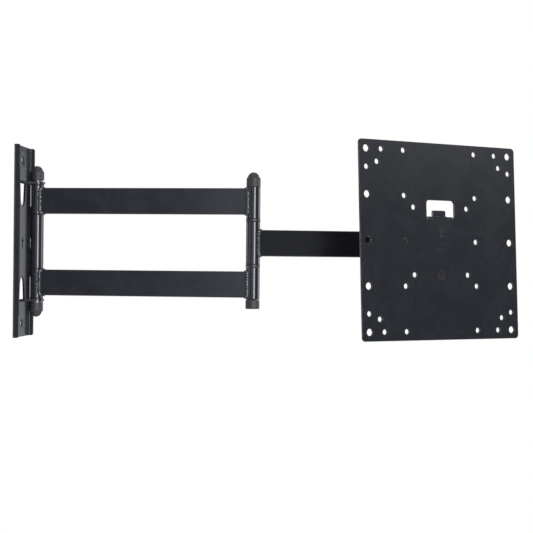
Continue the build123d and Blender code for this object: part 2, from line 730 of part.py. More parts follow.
def plate_lip(side):
    """One lip of the screen plate, bent back from the foot of the slot."""
    front = PLATE_X + SHEET
    outer = LIP_BEND + SHEET
    cx, cz = PLATE_X - LIP_BEND, SLOT_LOW - outer
    with BuildSketch(Plane.XZ) as section:
        with BuildLine():
            Line((PLATE_X, cz - 0.5), (front, cz - 0.5))
            Line((front, cz - 0.5), (front, cz))
            CenterArc((cx, cz), outer, 0, 90)
            Line((cx, SLOT_LOW), (PLATE_X - LIP_REACH, SLOT_LOW))
            Line((PLATE_X - LIP_REACH, SLOT_LOW), (PLATE_X - LIP_REACH, SLOT_LOW - SHEET))
            Line((PLATE_X - LIP_REACH, SLOT_LOW - SHEET), (cx, SLOT_LOW - SHEET))
            CenterArc((cx, cz), LIP_BEND, 90, -90)
            Line((PLATE_X, cz), (PLATE_X, cz - 0.5))
        make_face()
    y0 = LIP_IN if side > 0 else -LIP_OUT
    strip = extrude(section.sketch, LIP_OUT - LIP_IN, dir=(0, 1, 0))
    return Pos(0, y0, 0) * strip


def lock_seat():
    """The countersunk hole for the lock screw, as (radius, depth) from the plate's back."""
    hole_r, mouth_r = LOCK_R + 0.2, LOCK_HEAD_R + LOCK_SUNK + SEATED
    foot, over = SHEET - (mouth_r - hole_r), SHEET + 1
    return [(0, -1), (hole_r, -1), (hole_r, foot), (mouth_r, SHEET), (mouth_r, over), (0, over)]


def screen_plate():
    """The square plate that bolts to the screen, with its hole patterns, hanging slot and lips."""
    half = PLATE / 2
    front = PLATE_X + SHEET
    body = block(PLATE_X, front, -half, half, -half, half)
    body = fillet(body.edges().filter_by(Axis.X), PLATE_CORNER)
    rim = body.faces().filter_by(Axis.X)
    body = chamfer(rim.edges(), EDGE)
    over = SHEET + 1
    for y, z, radius in plate_holes():
        mouth = radius + HOLE_CHAMFER
        foot = SHEET - HOLE_CHAMFER
        drill = [(0, -1), (radius, -1), (radius, foot), (mouth, SHEET), (mouth, over), (0, over)]
        body -= Pos(PLATE_X, y, z) * along_x(revolved(drill))
    slot = block(PLATE_X - 1, front + 1, -SLOT_HALF_W, SLOT_HALF_W, SLOT_LOW, SLOT_TOP)
    slot = fillet(edges_at(slot, Axis.X, Axis.Z, SLOT_TOP), SLOT_CORNER)
    body -= slot
    notch_low = SLOT_LOW - LIP_BEND - SHEET
    for side in (-1, 1):
        inner, outer = sorted((side * (LIP_IN - 1.0), side * SLOT_HALF_W))
        body -= block(PLATE_X - 1, front + 1, inner, outer, notch_low, SLOT_LOW + 1)
        body += plate_lip(side)
    body -= Pos(PLATE_X, 0, LOCK_Z) * along_x(revolved(lock_seat()))
    mark = front - MARK_DEPTH
    body -= prism_x(arrow_points(*PLATE_ARROW), mark, front + 1)
    body -= block(mark, front + 1, -PLATE_BAR_HALF, PLATE_BAR_HALF, PLATE_BAR_LOW, PLATE_BAR_TOP)
    return body


def lock_screw():
    """The countersunk screw that locks the plate to the head bracket, with a hexagon socket."""
    face = PLATE_X + SHEET - LOCK_SUNK
    end = face - LOCK_LENGTH
    cone = LOCK_HEAD_R - LOCK_R
    point = 0.5
    shank = [(0, end), (LOCK_R - point, end), (LOCK_R, end + point), (LOCK_R, face - cone)]
    screw = revolved([*shank, (LOCK_HEAD_R, face), (0, face)])
    socket = Pos(0, 0, face - LOCK_SOCKET) * extrude(RegularPolygon(LOCK_SOCKET_AF / sqrt(3), 6), 5)
    return Pos(0, 0, LOCK_Z) * along_x(screw - socket)


def weld_nut():
    """The nut welded behind the head bracket for the lock screw."""
    back = HEAD_WEB_X - WELD_NUT_H
    body = Pos(0, 0, back) * extrude(RegularPolygon(NUT_AF / sqrt(3), 6), WELD_NUT_H)
    body -= disc(LOCK_R + SEATED, back - 1, HEAD_WEB_X + 1)
    return Pos(0, 0, LOCK_Z) * along_x(body)


# ---------------------------------------------------------------- what goes where
NODES = {
    WALL: [
        wall_plate,
        shoulder_bolt,
        shoulder_nut,
        shoulder_spring_washer,
        shoulder_flat_washer,
        shoulder_cap_top,
        shoulder_cap_bottom,
    ],
    ARM: [
        upper_tube_top,
        upper_tube_bottom,
        shoulder_sleeve_top,
        shoulder_sleeve_bottom,
        shoulder_bushes,
        shoulder_spacer,
        elbow_sleeve_top,
        elbow_sleeve_bottom,
        elbow_bolt,
        elbow_washer,
        elbow_nut,
        elbow_cap_top,
        elbow_cap_bottom,
    ],
    FORE: [forearm_tube, elbow_sleeve_middle, elbow_bushes, swivel_sleeve, swivel_bushes],
    HEAD: [
        swivel_bracket,
        swivel_bolt,
        swivel_nut,
        swivel_washers,
        level_washer,
        level_nut,
        level_disc,
        tilt_yoke,
        level_bolt,
        level_guide_pins,
        tilt_spacer,
        tilt_bolt,
        tilt_nut,
        tilt_washers,
        tilt_friction_washers,
    ],
    TILT: [head_bracket, screen_plate, lock_screw, weld_nut],
}


def main():
    """Builds every piece in its link's frame and writes it where it stands."""
    os.makedirs("parts", exist_ok=True)
    for frame, makers in NODES.items():
        for make in makers:
            shape = make()
            solids = shape if isinstance(shape, list) else [shape]
            placed = [frame * solid for solid in solids]
            whole = placed[0] if len(placed) == 1 else Compound(children=placed)
            export_step(whole, f"parts/{make.__name__}.step")


main()
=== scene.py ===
"""Looks for an articulated wall mount for a screen.

The steelwork comes packed as a fixed frame. Each sub-assembly is a class that makes its visible pieces with
rounded edges, weld beads, threads and finishes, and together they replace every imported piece.
A link's own frame has its pivot on Z and its length along X, and is drawn in millimetres.
"""

import json
import logging
import math
import sys
from collections.abc import Callable, Sequence
from dataclasses import dataclass
from enum import Enum
from typing import ClassVar

import bmesh
import bpy
from mathutils import Matrix, Vector

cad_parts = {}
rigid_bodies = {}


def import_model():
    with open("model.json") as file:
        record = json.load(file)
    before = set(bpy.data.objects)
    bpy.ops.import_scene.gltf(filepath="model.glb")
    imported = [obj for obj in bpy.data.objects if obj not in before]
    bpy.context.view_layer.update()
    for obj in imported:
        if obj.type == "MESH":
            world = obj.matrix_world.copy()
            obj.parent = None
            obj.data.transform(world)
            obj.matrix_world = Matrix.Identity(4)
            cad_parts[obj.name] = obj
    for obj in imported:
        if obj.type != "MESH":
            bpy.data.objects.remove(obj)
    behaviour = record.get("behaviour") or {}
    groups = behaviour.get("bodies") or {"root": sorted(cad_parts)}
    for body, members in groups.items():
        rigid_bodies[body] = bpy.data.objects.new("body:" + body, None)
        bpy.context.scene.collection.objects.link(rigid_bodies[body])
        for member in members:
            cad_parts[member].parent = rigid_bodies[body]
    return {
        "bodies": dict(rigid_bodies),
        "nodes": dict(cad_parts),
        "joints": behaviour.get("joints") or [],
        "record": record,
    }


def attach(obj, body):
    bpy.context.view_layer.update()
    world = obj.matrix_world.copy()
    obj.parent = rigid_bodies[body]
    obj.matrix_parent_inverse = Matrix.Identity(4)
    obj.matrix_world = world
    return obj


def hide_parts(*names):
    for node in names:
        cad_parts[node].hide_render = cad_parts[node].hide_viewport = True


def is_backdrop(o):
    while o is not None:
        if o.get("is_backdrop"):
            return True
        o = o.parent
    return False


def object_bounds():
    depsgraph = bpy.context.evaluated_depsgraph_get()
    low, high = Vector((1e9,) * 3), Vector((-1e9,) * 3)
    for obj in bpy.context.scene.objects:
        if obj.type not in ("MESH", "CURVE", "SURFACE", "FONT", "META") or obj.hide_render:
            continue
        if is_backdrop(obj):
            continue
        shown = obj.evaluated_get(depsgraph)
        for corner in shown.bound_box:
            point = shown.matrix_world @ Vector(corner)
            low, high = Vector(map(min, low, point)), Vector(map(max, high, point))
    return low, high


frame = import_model()

MM = 0.001
UP = Vector((0, 0, 1))
LOG = logging.getLogger("wall_mount")
Profile = list[tuple[float, float]]


# ------------------------------------------------------------------ places
@dataclass(frozen=True)
class Link:
    """A rigid link's own frame.

    Args:
        origin: a point on the link's pivot, at mid height.
        along: the link's direction, level or nearly so.
        across: the link's own Y, or None for the level direction to the left of along.
    """

    origin: Vector
    along: Vector
    across: Vector | None = None

    @property
    def matrix(self) -> Matrix:
        """The turn, shift and scale from the link's frame, in millimetres, to the row's, in metres."""
        x = self.along.normalized()
        y = (self.across or UP.cross(x)).normalized()
        turn = Matrix((x, y, x.cross(y))).transposed()
        return Matrix.Translation(self.origin) @ turn.to_4x4() @ Matrix.Scale(MM, 4)


class Links:
    """The frames of every link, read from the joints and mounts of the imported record."""

    def __init__(self, packed: dict) -> None:
        """Reads the pivots, axes and the screen face.

        Args:
            packed: what the frame loader returned.
        """
        place = {joint["name"]: Vector(joint["pos_m"]) for joint in packed["joints"]}
        axis = {joint["name"]: Vector(joint["axis"]) for joint in packed["joints"]}
        face = next(m for m in packed["record"]["mounts"] if m["name"] == "screen_face")
        self.shoulder, self.elbow, self.swivel = place["shoulder"], place["elbow"], place["swivel"]
        self.wall = Link(self.shoulder, Vector((1, 0, 0)))
        self.upper_arm = Link(self.shoulder, self.elbow - self.shoulder)
        self.forearm = Link(self.elbow, self.swivel - self.elbow)
        self.head = Link(self.swivel, axis["level"])
        self.screen = Link(Vector(face["pos_m"]), Vector(face["axis"]), axis["tilt"])


# ------------------------------------------------------------------ node trees
class Graph:
    """Adds nodes to a tree and joins them."""

    def __init__(self, tree: bpy.types.NodeTree) -> None:
        """Keeps the tree that the nodes go into."""
        self.tree = tree

    def add(self, kind: str, values: dict | None = None, **settings: object) -> bpy.types.Node:
        """Adds one node.

        Args:
            kind: the node's type.
            values: input name or number to a constant or to the socket that feeds it.
            settings: the node's own properties.

        Returns:
            The new node.
        """
        node = self.tree.nodes.new(kind)
        for name, value in settings.items():
            setattr(node, name, value)
        for name, value in (values or {}).items():
            if isinstance(value, bpy.types.NodeSocket):
                self.tree.links.new(value, node.inputs[name])
            else:
                node.inputs[name].default_value = value
        return node

    def math(self, operation: str, *terms: object, clamp: bool = False) -> bpy.types.NodeSocket:
        """The result of one arithmetic node.

        Args:
            operation: the node's operation.
            terms: numbers or sockets.
            clamp: whether the result is kept between 0 and 1.

        Returns:
            The result's socket.
        """
        values = dict(enumerate(terms))
        return self.add("ShaderNodeMath", values, operation=operation, use_clamp=clamp).outputs[0]

    def feed(self, node: bpy.types.Node, sockets: dict) -> None:
        """Joins sockets to a node's inputs, by name or number."""
        for name, socket in sockets.items():
            self.tree.links.new(socket, node.inputs[name])

    def place(self) -> bpy.types.NodeSocket:
        """The point on the object that is being shaded."""
        return self.add("ShaderNodeTexCoord").outputs["Object"]

    def noise(self, place: object, scale: object, detail: float, rough: float = 0.5) -> bpy.types.NodeSocket:
        """A cloudy value that changes from place to place."""
        values = {"Vector": place, "Scale": scale, "Detail": detail, "Roughness": rough}
        return self.add("ShaderNodeTexNoise", values).outputs["Fac"]

    def masked(self, *masks: object) -> bpy.types.NodeSocket:
        """The product of three masks, kept between 0 and 1."""
        first, second, third = masks
        return self.math("MULTIPLY", self.math("MULTIPLY", first, second), third, clamp=True)

    def vector(self, operation: str, *terms: object) -> bpy.types.Node:
        """One vector arithmetic node over numbers or sockets."""
        return self.add("ShaderNodeVectorMath", dict(enumerate(terms)), operation=operation)

    def ramp(self, value: bpy.types.NodeSocket, low: float, high: float) -> bpy.types.NodeSocket:
        """Spreads value so that low gives 0 and high gives 1, with soft ends."""
        values = {"Value": value, "From Min": low, "From Max": high}
        spread = self.add("ShaderNodeMapRange", values, interpolation_type="SMOOTHSTEP")
        return spread.outputs["Result"]

    def blend(self, share: object, first: object, second: object) -> bpy.types.NodeSocket:
        """Mixes two colours by share."""
        values = {0: share, 6: first, 7: second}
        return self.add("ShaderNodeMix", values, data_type="RGBA").outputs[2]


class Socket(Enum):
    """The kinds of sockets that the trees below show."""

    NUMBER = "NodeSocketFloat"
    SHAPE = "NodeSocketGeometry"
    FINISH = "NodeSocketMaterial"


def new_tree(kind: str, name: str, inputs: dict[str, Socket], outputs: dict[str, Socket]) -> tuple:
    """Starts a node group with named sockets.

    Args:
        kind: the tree's type.
        name: the tree's name.
        inputs: input names and kinds.
        outputs: output names and kinds.

    Returns:
        The graph, its input node's sockets and its output node.
    """
    tree = bpy.data.node_groups.new(name, kind)
    for direction, sockets in (("INPUT", inputs), ("OUTPUT", outputs)):
        for label, socket in sockets.items():
            tree.interface.new_socket(label, in_out=direction, socket_type=socket.value)
    graph = Graph(tree)
    return graph, graph.add("NodeGroupInput").outputs, graph.add("NodeGroupOutput")


# ------------------------------------------------------------------ shared surface effects
class Effect(Enum):
    """Surface effects that several finishes share, each a shader group."""

    PEEL = "powder_peel"
    WEAR = "edge_wear"
    DUST = "settled_dust"
    HANDLING = "handling_marks"


class Effects:
    """Builds each effect's group once and places it in materials."""

    GRAIN_TO_WAVES = 4.5
    CHIP_SCALE = 190.0
    DUST_SCALE = 55.0
    SCUFF_STRETCH = (22.0, 22.0, 620.0)
    SCUFF_PATCHES = 16.0
    EDGE_TURN = (0.995, 0.86)
    CHIPPED = (0.42, 0.66)
    UPWARD = (0.25, 1.0)
    DUSTY = (0.3, 0.75)
    SMUDGED = (0.32, 0.72)
    SCUFF_LINES = (0.71, 0.76)
    SCUFF_PLACES = (0.55, 0.7)

    def __init__(self) -> None:
        """Makes the four groups."""
        self.groups = {
            Effect.PEEL: self._peel(),
            Effect.WEAR: self._edge_wear_and_highlight(),
            Effect.DUST: self._dust(),
            Effect.HANDLING: self._handling(),
        }

    def place(self, graph: Graph, effect: Effect, values: dict[str, float]) -> bpy.types.Node:
        """Puts an effect in a material.

        Args:
            graph: the material's graph.
            effect: which effect.
            values: the group's input values.

        Returns:
            The group node.
        """
        return graph.add("ShaderNodeGroup", values, node_tree=self.groups[effect])

    @staticmethod
    def _start(effect: Effect, inputs: Sequence[str], outputs: Sequence[str]) -> tuple:
        """Starts an effect's group with number sockets and the object's coordinates."""
        named_in = {name: Socket.NUMBER for name in inputs}
        named_out = {name: Socket.NUMBER for name in outputs}
        graph, given, result = new_tree("ShaderNodeTree", effect.value, named_in, named_out)
        return graph, given, result, graph.place()

    def _peel(self) -> bpy.types.NodeTree:
        """Fine grain over broad, shallow waves, as powder coat has when it flows out."""
        graph, given, result, place = self._start(Effect.PEEL, ("Scale", "Grain"), ("Height", "Sparkle"))
        waves = graph.noise(place, given["Scale"], 2.0, 0.55)
        grain = graph.noise(place, graph.math("MULTIPLY", given["Scale"], self.GRAIN_TO_WAVES), 3.0, 0.6)
        height = graph.math("MULTIPLY_ADD", grain, given["Grain"], waves)
        graph.feed(result, {"Height": height, "Sparkle": grain})
        return graph.tree

    def _edge_wear_and_highlight(self) -> bpy.types.NodeTree:
        """A broken line along outside edges, where the coat is thin and worn bright; on the plate the same
        line carries a painted highlight.
        """
        graph, given, result, place = self._start(Effect.WEAR, ("Radius", "Amount"), ("Mask",))
        rounded = graph.add("ShaderNodeBevel", {"Radius": given["Radius"]}, samples=4).outputs[0]
        true = graph.add("ShaderNodeNewGeometry").outputs["Normal"]
        level = graph.vector("DOT_PRODUCT", rounded, true).outputs["Value"]
        edge = graph.ramp(level, *self.EDGE_TURN)
        broken = graph.ramp(graph.noise(place, self.CHIP_SCALE, 4.0, 0.65), *self.CHIPPED)
        graph.feed(result, {"Mask": graph.masked(edge, broken, given["Amount"])})
        return graph.tree

    def _dust(self) -> bpy.types.NodeTree:
        """A thin film on faces that look up, gathered in soft patches."""
        graph, given, result, place = self._start(Effect.DUST, ("Amount",), ("Mask",))
        true = graph.add("ShaderNodeNewGeometry").outputs["Normal"]
        facing = graph.ramp(graph.add("ShaderNodeSeparateXYZ", {0: true}).outputs["Z"], *self.UPWARD)
        patch = graph.ramp(graph.noise(place, self.DUST_SCALE, 6.0, 0.7), *self.DUSTY)
        graph.feed(result, {"Mask": graph.masked(facing, patch, given["Amount"])})
        return graph.tree

    def _handling(self) -> bpy.types.NodeTree:
        """Broad smudges and a few long, fine scuffs."""
        outputs = ("Smudge", "Scuff")
        graph, given, result, place = self._start(Effect.HANDLING, ("Scale", "Scuffs"), outputs)
        clouds = {"Vector": place, "Scale": given["Scale"], "Detail": 4.0, "Roughness": 0.6}
        warped = graph.add("ShaderNodeTexNoise", {**clouds, "Distortion": 0.6})
        smudge = graph.ramp(warped.outputs["Fac"], *self.SMUDGED)
        lines = graph.noise(graph.vector("MULTIPLY", place, self.SCUFF_STRETCH).outputs[0], 1.0, 2.0)
        where = graph.ramp(graph.noise(place, self.SCUFF_PATCHES, 1.0), *self.SCUFF_PLACES)
        scuff = graph.masked(graph.ramp(lines, *self.SCUFF_LINES), where, given["Scuffs"])
        graph.feed(result, {"Smudge": smudge, "Scuff": scuff})
        return graph.tree


# ------------------------------------------------------------------ finishes
Colour = tuple[float, float, float]


SCUFF_TONE: Colour = (0.11, 0.11, 0.12)
COAT_DUST: Colour = (0.2, 0.19, 0.18)
PLASTIC_RUB: Colour = (0.09, 0.09, 0.095)
PLASTIC_DUST: Colour = (0.17, 0.165, 0.16)
BARE_STEEL: Colour = (0.45, 0.45, 0.46)


def rgba(colour: Colour) -> tuple[float, float, float, float]:
    """A colour with full opacity."""
    return (*colour, 1.0)


def cover(graph: Graph, shader: bpy.types.Node, colour: object, rough: object, relief: dict) -> None:
    """Joins a finish's colour, roughness and relief to its shader.

    Args:
        graph: the material's graph.
        shader: its shader.
        colour: the colour's socket.
        rough: the roughness's socket.
        relief: the inputs of the node that raises the surface.
    """
    raised = graph.add("ShaderNodeBump", relief).outputs[0]
    graph.feed(shader, {"Base Color": colour, "Roughness": rough, "Normal": raised})


@dataclass(frozen=True)
class PowderCoat:
    """A baked black coat over steel: satin, faintly pebbled, thin and worn pale at the edges; on the plate
    the pale edges are also a painted highlight.

    Args:
        name: the material's name.
        colour: the coat.
        smudged: the coat where it has been handled.
        roughness: the coat's middle roughness.
        vary: how far the roughness strays where it is handled.
        peel_scale: waves across a metre, as a noise scale.
        peel_depth: the height of the waves, in metres.
        worn_and_lit_edges: how much of the edges is worn pale, which on the plate is also a painted
            highlight.
        worn_and_lit_edge_tone: the coat at its pale edges, worn, and on the plate also a painted highlight
            along edges and hole rims.
        dust: how much dust lies on level faces.
        scuffs: how strong the long scuffs are.
        gloss: how strongly the coat mirrors, where 0.5 is plain.
    """

    name: str
    colour: Colour
    smudged: Colour
    roughness: float
    vary: float = 0.04
    peel_scale: float = 900.0
    peel_depth: float = 0.014 * MM
    worn_and_lit_edges: float = 0.5
    worn_and_lit_edge_tone: Colour = (0.1, 0.1, 0.11)
    dust: float = 0.25
    scuffs: float = 0.5
    gloss: float = 0.5

    def build(self, effects: Effects) -> bpy.types.Material:
        """Makes the material.

        Args:
            effects: the shared effects.

        Returns:
            The material.
        """
        material, graph, shader = new_material(self.name)
        peel = effects.place(graph, Effect.PEEL, {"Scale": self.peel_scale, "Grain": 0.35})
        worn_and_lit_edges = effects.place(graph, Effect.WEAR, {"Radius": 0.5 * MM, "Amount": self.worn_and_lit_edges})
        dust = effects.place(graph, Effect.DUST, {"Amount": self.dust})
        marks = effects.place(graph, Effect.HANDLING, {"Scale": 34.0, "Scuffs": self.scuffs})
        coat = graph.blend(marks.outputs["Smudge"], rgba(self.colour), rgba(self.smudged))
        scuffed = graph.blend(marks.outputs["Scuff"], coat, rgba(SCUFF_TONE))
        # Pale edges: worn coat, and on the plate also a painted highlight along its edges and hole rims.
        worn_and_lit_edge_tone = graph.blend(worn_and_lit_edges.outputs["Mask"], scuffed, rgba(self.worn_and_lit_edge_tone))
        dusty = graph.blend(dust.outputs["Mask"], worn_and_lit_edge_tone, rgba(COAT_DUST))
        rough = graph.math("MULTIPLY_ADD", marks.outputs["Smudge"], self.vary, self.roughness - self.vary)
        rough = graph.math("MULTIPLY_ADD", peel.outputs["Sparkle"], self.vary, rough)
        rough = graph.math("MULTIPLY_ADD", dust.outputs["Mask"], 0.35, rough, clamp=True)
        relief = {"Height": peel.outputs["Height"], "Distance": self.peel_depth, "Strength": 1.0}
        shader.inputs["Specular IOR Level"].default_value = self.gloss
        cover(graph, shader, dusty, rough, relief)
        return material


@dataclass(frozen=True)
class Plastic:
    """A moulded plastic: a fine spark-eroded grain, faint flow marks and soft dust.

    Args:
        name: the material's name.
        colour: the plastic.
        flow: its paler streaks.
        roughness: its middle roughness.
        grain: the height of the grain, in metres.
    """

    name: str
    colour: Colour
    flow: Colour
    roughness: float
    grain: float = 0.02 * MM
    STREAK_STRETCH: ClassVar[Colour] = (260.0, 260.0, 45.0)
    PIT_SCALE: ClassVar[float] = 4200.0

    def build(self, effects: Effects) -> bpy.types.Material:
        """Makes the material.

        Args:
            effects: the shared effects.

        Returns:
            The material.
        """
        material, graph, shader = new_material(self.name)
        place = graph.place()
        streaks = graph.noise(graph.vector("MULTIPLY", place, self.STREAK_STRETCH).outputs[0], 1.0, 3.0)
        pits = graph.noise(place, self.PIT_SCALE, 2.0)
        dust = effects.place(graph, Effect.DUST, {"Amount": 0.3})
        worn_and_lit_edges = effects.place(graph, Effect.WEAR, {"Radius": 0.4 * MM, "Amount": 0.35})
        body = graph.blend(graph.ramp(streaks, 0.35, 0.7), rgba(self.colour), rgba(self.flow))
        worn_and_lit_edge_tone = graph.blend(worn_and_lit_edges.outputs["Mask"], body, rgba(PLASTIC_RUB))
        dusty = graph.blend(dust.outputs["Mask"], worn_and_lit_edge_tone, rgba(PLASTIC_DUST))
        rough = graph.math("MULTIPLY_ADD", pits, 0.14, self.roughness - 0.07)
        rough = graph.math("MULTIPLY_ADD", dust.outputs["Mask"], 0.25, rough, clamp=True)
        cover(graph, shader, dusty, rough, {"Height": pits, "Distance": self.grain, "Strength": 1.0})
        return material


@dataclass(frozen=True)
class Plating:
    """A thin plating over turned or rolled steel, with a drift of tint and fine marks.

    Args:
        name: the material's name.
        colour: the plating.
        tint: what it drifts towards.
        roughness: its middle roughness.
    """

    name: str
    colour: Colour
    tint: Colour
    roughness: float
    DRIFT_SCALE: ClassVar[float] = 130.0
    MARK_SCALE: ClassVar[float] = 2600.0
    MARK_DEPTH: ClassVar[float] = 0.008 * MM

    def build(self, effects: Effects) -> bpy.types.Material:
        """Makes the material.

        Args:
            effects: the shared effects.

        Returns:
            The material.
        """
        material, graph, shader = new_material(self.name)
        shader.inputs["Metallic"].default_value = 1.0
        place = graph.place()
        drift = graph.noise(place, self.DRIFT_SCALE, 3.0)
        fine = graph.noise(place, self.MARK_SCALE, 3.0)
        worn_and_lit_edges = effects.place(graph, Effect.WEAR, {"Radius": 0.3 * MM, "Amount": 0.7})
        plated = graph.blend(graph.ramp(drift, 0.3, 0.7), rgba(self.colour), rgba(self.tint))
        worn_and_lit_edge_tone = graph.blend(worn_and_lit_edges.outputs["Mask"], plated, rgba(BARE_STEEL))
        rough = graph.math("MULTIPLY_ADD", fine, 0.16, self.roughness - 0.08, clamp=True)
        cover(graph, shader, worn_and_lit_edge_tone, rough, {"Height": fine, "Distance": self.MARK_DEPTH, "Strength": 0.8})
        return material


def new_material(name: str) -> tuple[bpy.types.Material, Graph, bpy.types.Node]:
    """Starts a material with one Principled shader.

    Args:
        name: the material's name.

    Returns:
        The material, its graph and the shader.
    """
    material = bpy.data.materials.new(name)
    material.use_nodes = True
    material.node_tree.nodes.clear()
    graph = Graph(material.node_tree)
    shader = graph.add("ShaderNodeBsdfPrincipled")
    graph.add("ShaderNodeOutputMaterial", {"Surface": shader.outputs[0]})
    return material, graph, shader


class Slot(Enum):
    """The record's material slots."""

    COAT = "powder_coat"
    PLATE = "plate_coat"
    CAP = "cap_plastic"
    NYLON = "nylon"
    BLACK_STEEL = "black_steel"
    BRIGHT_STEEL = "zinc_steel"


class Finishes:
    """Every finish of the mount, built once."""

    BLACK: Colour = (0.0125, 0.013, 0.0165)
    HANDLED: Colour = (0.018, 0.0185, 0.023)
    RECIPES = {
        Slot.COAT: PowderCoat("arm_powder_coat", BLACK, HANDLED, 0.2),
        # The plate's pale edge tone, laid at full share, is a painted highlight along its outer edges and
        # hole rims, over a little real wear.
        Slot.PLATE: PowderCoat("plate_powder_coat", (0.007, 0.0078, 0.0102), (0.0085, 0.0093, 0.0118), 0.27,
                               worn_and_lit_edges=1.0, worn_and_lit_edge_tone=(0.2, 0.2, 0.21), scuffs=0.2),
        Slot.CAP: Plastic("cap_polythene", (0.017, 0.0172, 0.02), (0.023, 0.0235, 0.027), 0.55),
        Slot.NYLON: Plastic("bush_nylon", (0.012, 0.012, 0.013), (0.018, 0.018, 0.019), 0.42),
        Slot.BLACK_STEEL: Plating("black_plating", (0.05, 0.05, 0.056), (0.075, 0.072, 0.068), 0.34),
        Slot.BRIGHT_STEEL: Plating("bright_plating", (0.13, 0.135, 0.145), (0.1, 0.097, 0.09), 0.36),
    }
    # The bead coat and its smudges are paler than the arm coat: a painted lightening that stands in for the
    # beads' glints.
    WELD = PowderCoat("weld_coat", (0.022, 0.022, 0.027), (0.036, 0.037, 0.044), 0.1, 0.02,
                      peel_scale=700.0, peel_depth=0.12 * MM, worn_and_lit_edges=0.0, gloss=1.0)
    SLEEVE = PowderCoat("sleeve_powder_coat", BLACK, HANDLED, 0.13, 0.02)

    def __init__(self, effects: Effects) -> None:
        """Builds the materials."""
        self.made = {slot: recipe.build(effects) for slot, recipe in self.RECIPES.items()}
        self.weld = self.WELD.build(effects)
        self.sleeve = self.SLEEVE.build(effects)

    def __getitem__(self, slot: Slot) -> bpy.types.Material:
        """The material of one slot."""
        return self.made[slot]


# ------------------------------------------------------------------ mesh work
ROUND_STEPS = 96
CORNER_STEPS = 4
DOME_STEPS = 16
EDGE_STEPS = 2
POLE = 1e-9
LONGEST_ARC = 0.45
MERGE = 0.002 * MM
FLAT_ANGLE = math.radians(0.5)
SMOOTH_ANGLE = math.radians(32)


def soften(corners: Profile, radius: float, loop: bool = False) -> Profile:
    """Rounds the corners of an outline.

    Args:
        corners: the outline's points.
        radius: the distance from a corner at which its arc starts.
        loop: whether the outline closes on itself; otherwise its two ends stay sharp.

    Returns:
        The rounded outline.
    """
    count = len(corners)
    result: Profile = []
    for index, corner in enumerate(corners):
        if not loop and index in (0, count - 1):
            result.append(corner)
            continue
        here = Vector(corner)
        before, after = Vector(corners[index - 1]), Vector(corners[(index + 1) % count])
        reach = min(radius, LONGEST_ARC * (before - here).length, LONGEST_ARC * (after - here).length)
        start = here + (before - here).normalized() * reach
        end = here + (after - here).normalized() * reach
        for step in range(CORNER_STEPS + 1):
            t = step / CORNER_STEPS
            point = start * (1 - t) ** 2 + here * 2 * t * (1 - t) + end * t**2
            result.append((point.x, point.y))
    return result


def dome(radius: float, low: float, rise: float) -> Profile:
    """The outline of a dome that is part of a ball.

    Args:
        radius: the dome's radius at its edge.
        low: the height of its edge.
        rise: how far it rises.

    Returns:
        Points from the edge to the axis.
    """
    ball = (radius**2 + rise**2) / (2 * rise)
    start = math.acos((ball - rise) / ball)
    angles = [start * (1 - step / DOME_STEPS) for step in range(DOME_STEPS)]
    middle = low + rise - ball
    points = [(ball * math.sin(a), middle + ball * math.cos(a)) for a in angles]
    return [*points, (0.0, low + rise)]


def turned(profile: Profile, loop: bool = True) -> bmesh.types.BMesh:
    """Turns an outline round Z.

    Args:
        profile: (radius, height) points; a radius of 0 is a pole.
        loop: whether the outline closes on itself, as a ring's does.

    Returns:
        The mesh, closed and with its faces outwards.
    """
    bm = bmesh.new()
    rings = []
    for radius, height in profile:
        if radius < POLE:
            rings.append([bm.verts.new((0, 0, height))] * ROUND_STEPS)
            continue
        angles = (2 * math.pi * step / ROUND_STEPS for step in range(ROUND_STEPS))
        rings.append([bm.verts.new((radius * math.cos(a), radius * math.sin(a), height)) for a in angles])
    pairs = list(zip(rings, rings[1:] + rings[:1])) if loop else list(zip(rings, rings[1:]))
    for low, high in pairs:
        for step in range(ROUND_STEPS):
            after = (step + 1) % ROUND_STEPS
            corners = dict.fromkeys((low[step], low[after], high[after], high[step]))
            if len(corners) > 2:
                bm.faces.new(corners)
    bmesh.ops.recalc_face_normals(bm, faces=bm.faces)
    return bm


def joined(meshes: Sequence[bmesh.types.BMesh]) -> bmesh.types.BMesh:
    """Puts several meshes into one."""
    whole = bmesh.new()
    for bm in meshes:
        scratch = bpy.data.meshes.new("scratch")
        bm.to_mesh(scratch)
        bm.free()
        whole.from_mesh(scratch)
        bpy.data.meshes.remove(scratch)
    return whole


def grown(tree: bpy.types.NodeTree, values: dict[str, object]) -> bmesh.types.BMesh:
    """Runs a Geometry Nodes tree and keeps its plain mesh.

    Args:
        tree: the tree.
        values: its inputs by name.

    Returns:
        The mesh that it makes.
    """
    holder = bpy.data.objects.new("holder", bpy.data.meshes.new("holder"))
    bpy.context.scene.collection.objects.link(holder)
    modifier = holder.modifiers.new("grow", "NODES")
    modifier.node_group = tree
    for item in tree.interface.items_tree:
        if item.in_out == "INPUT" and item.name in values:
            modifier[item.identifier] = values[item.name]
    holder.update_tag()
    shape = holder.evaluated_get(bpy.context.evaluated_depsgraph_get())
    mesh = bpy.data.meshes.new_from_object(shape)
    bm = bmesh.new()
    bm.from_mesh(mesh)
    bpy.data.objects.remove(holder)
    bpy.data.meshes.remove(mesh)
    return bm


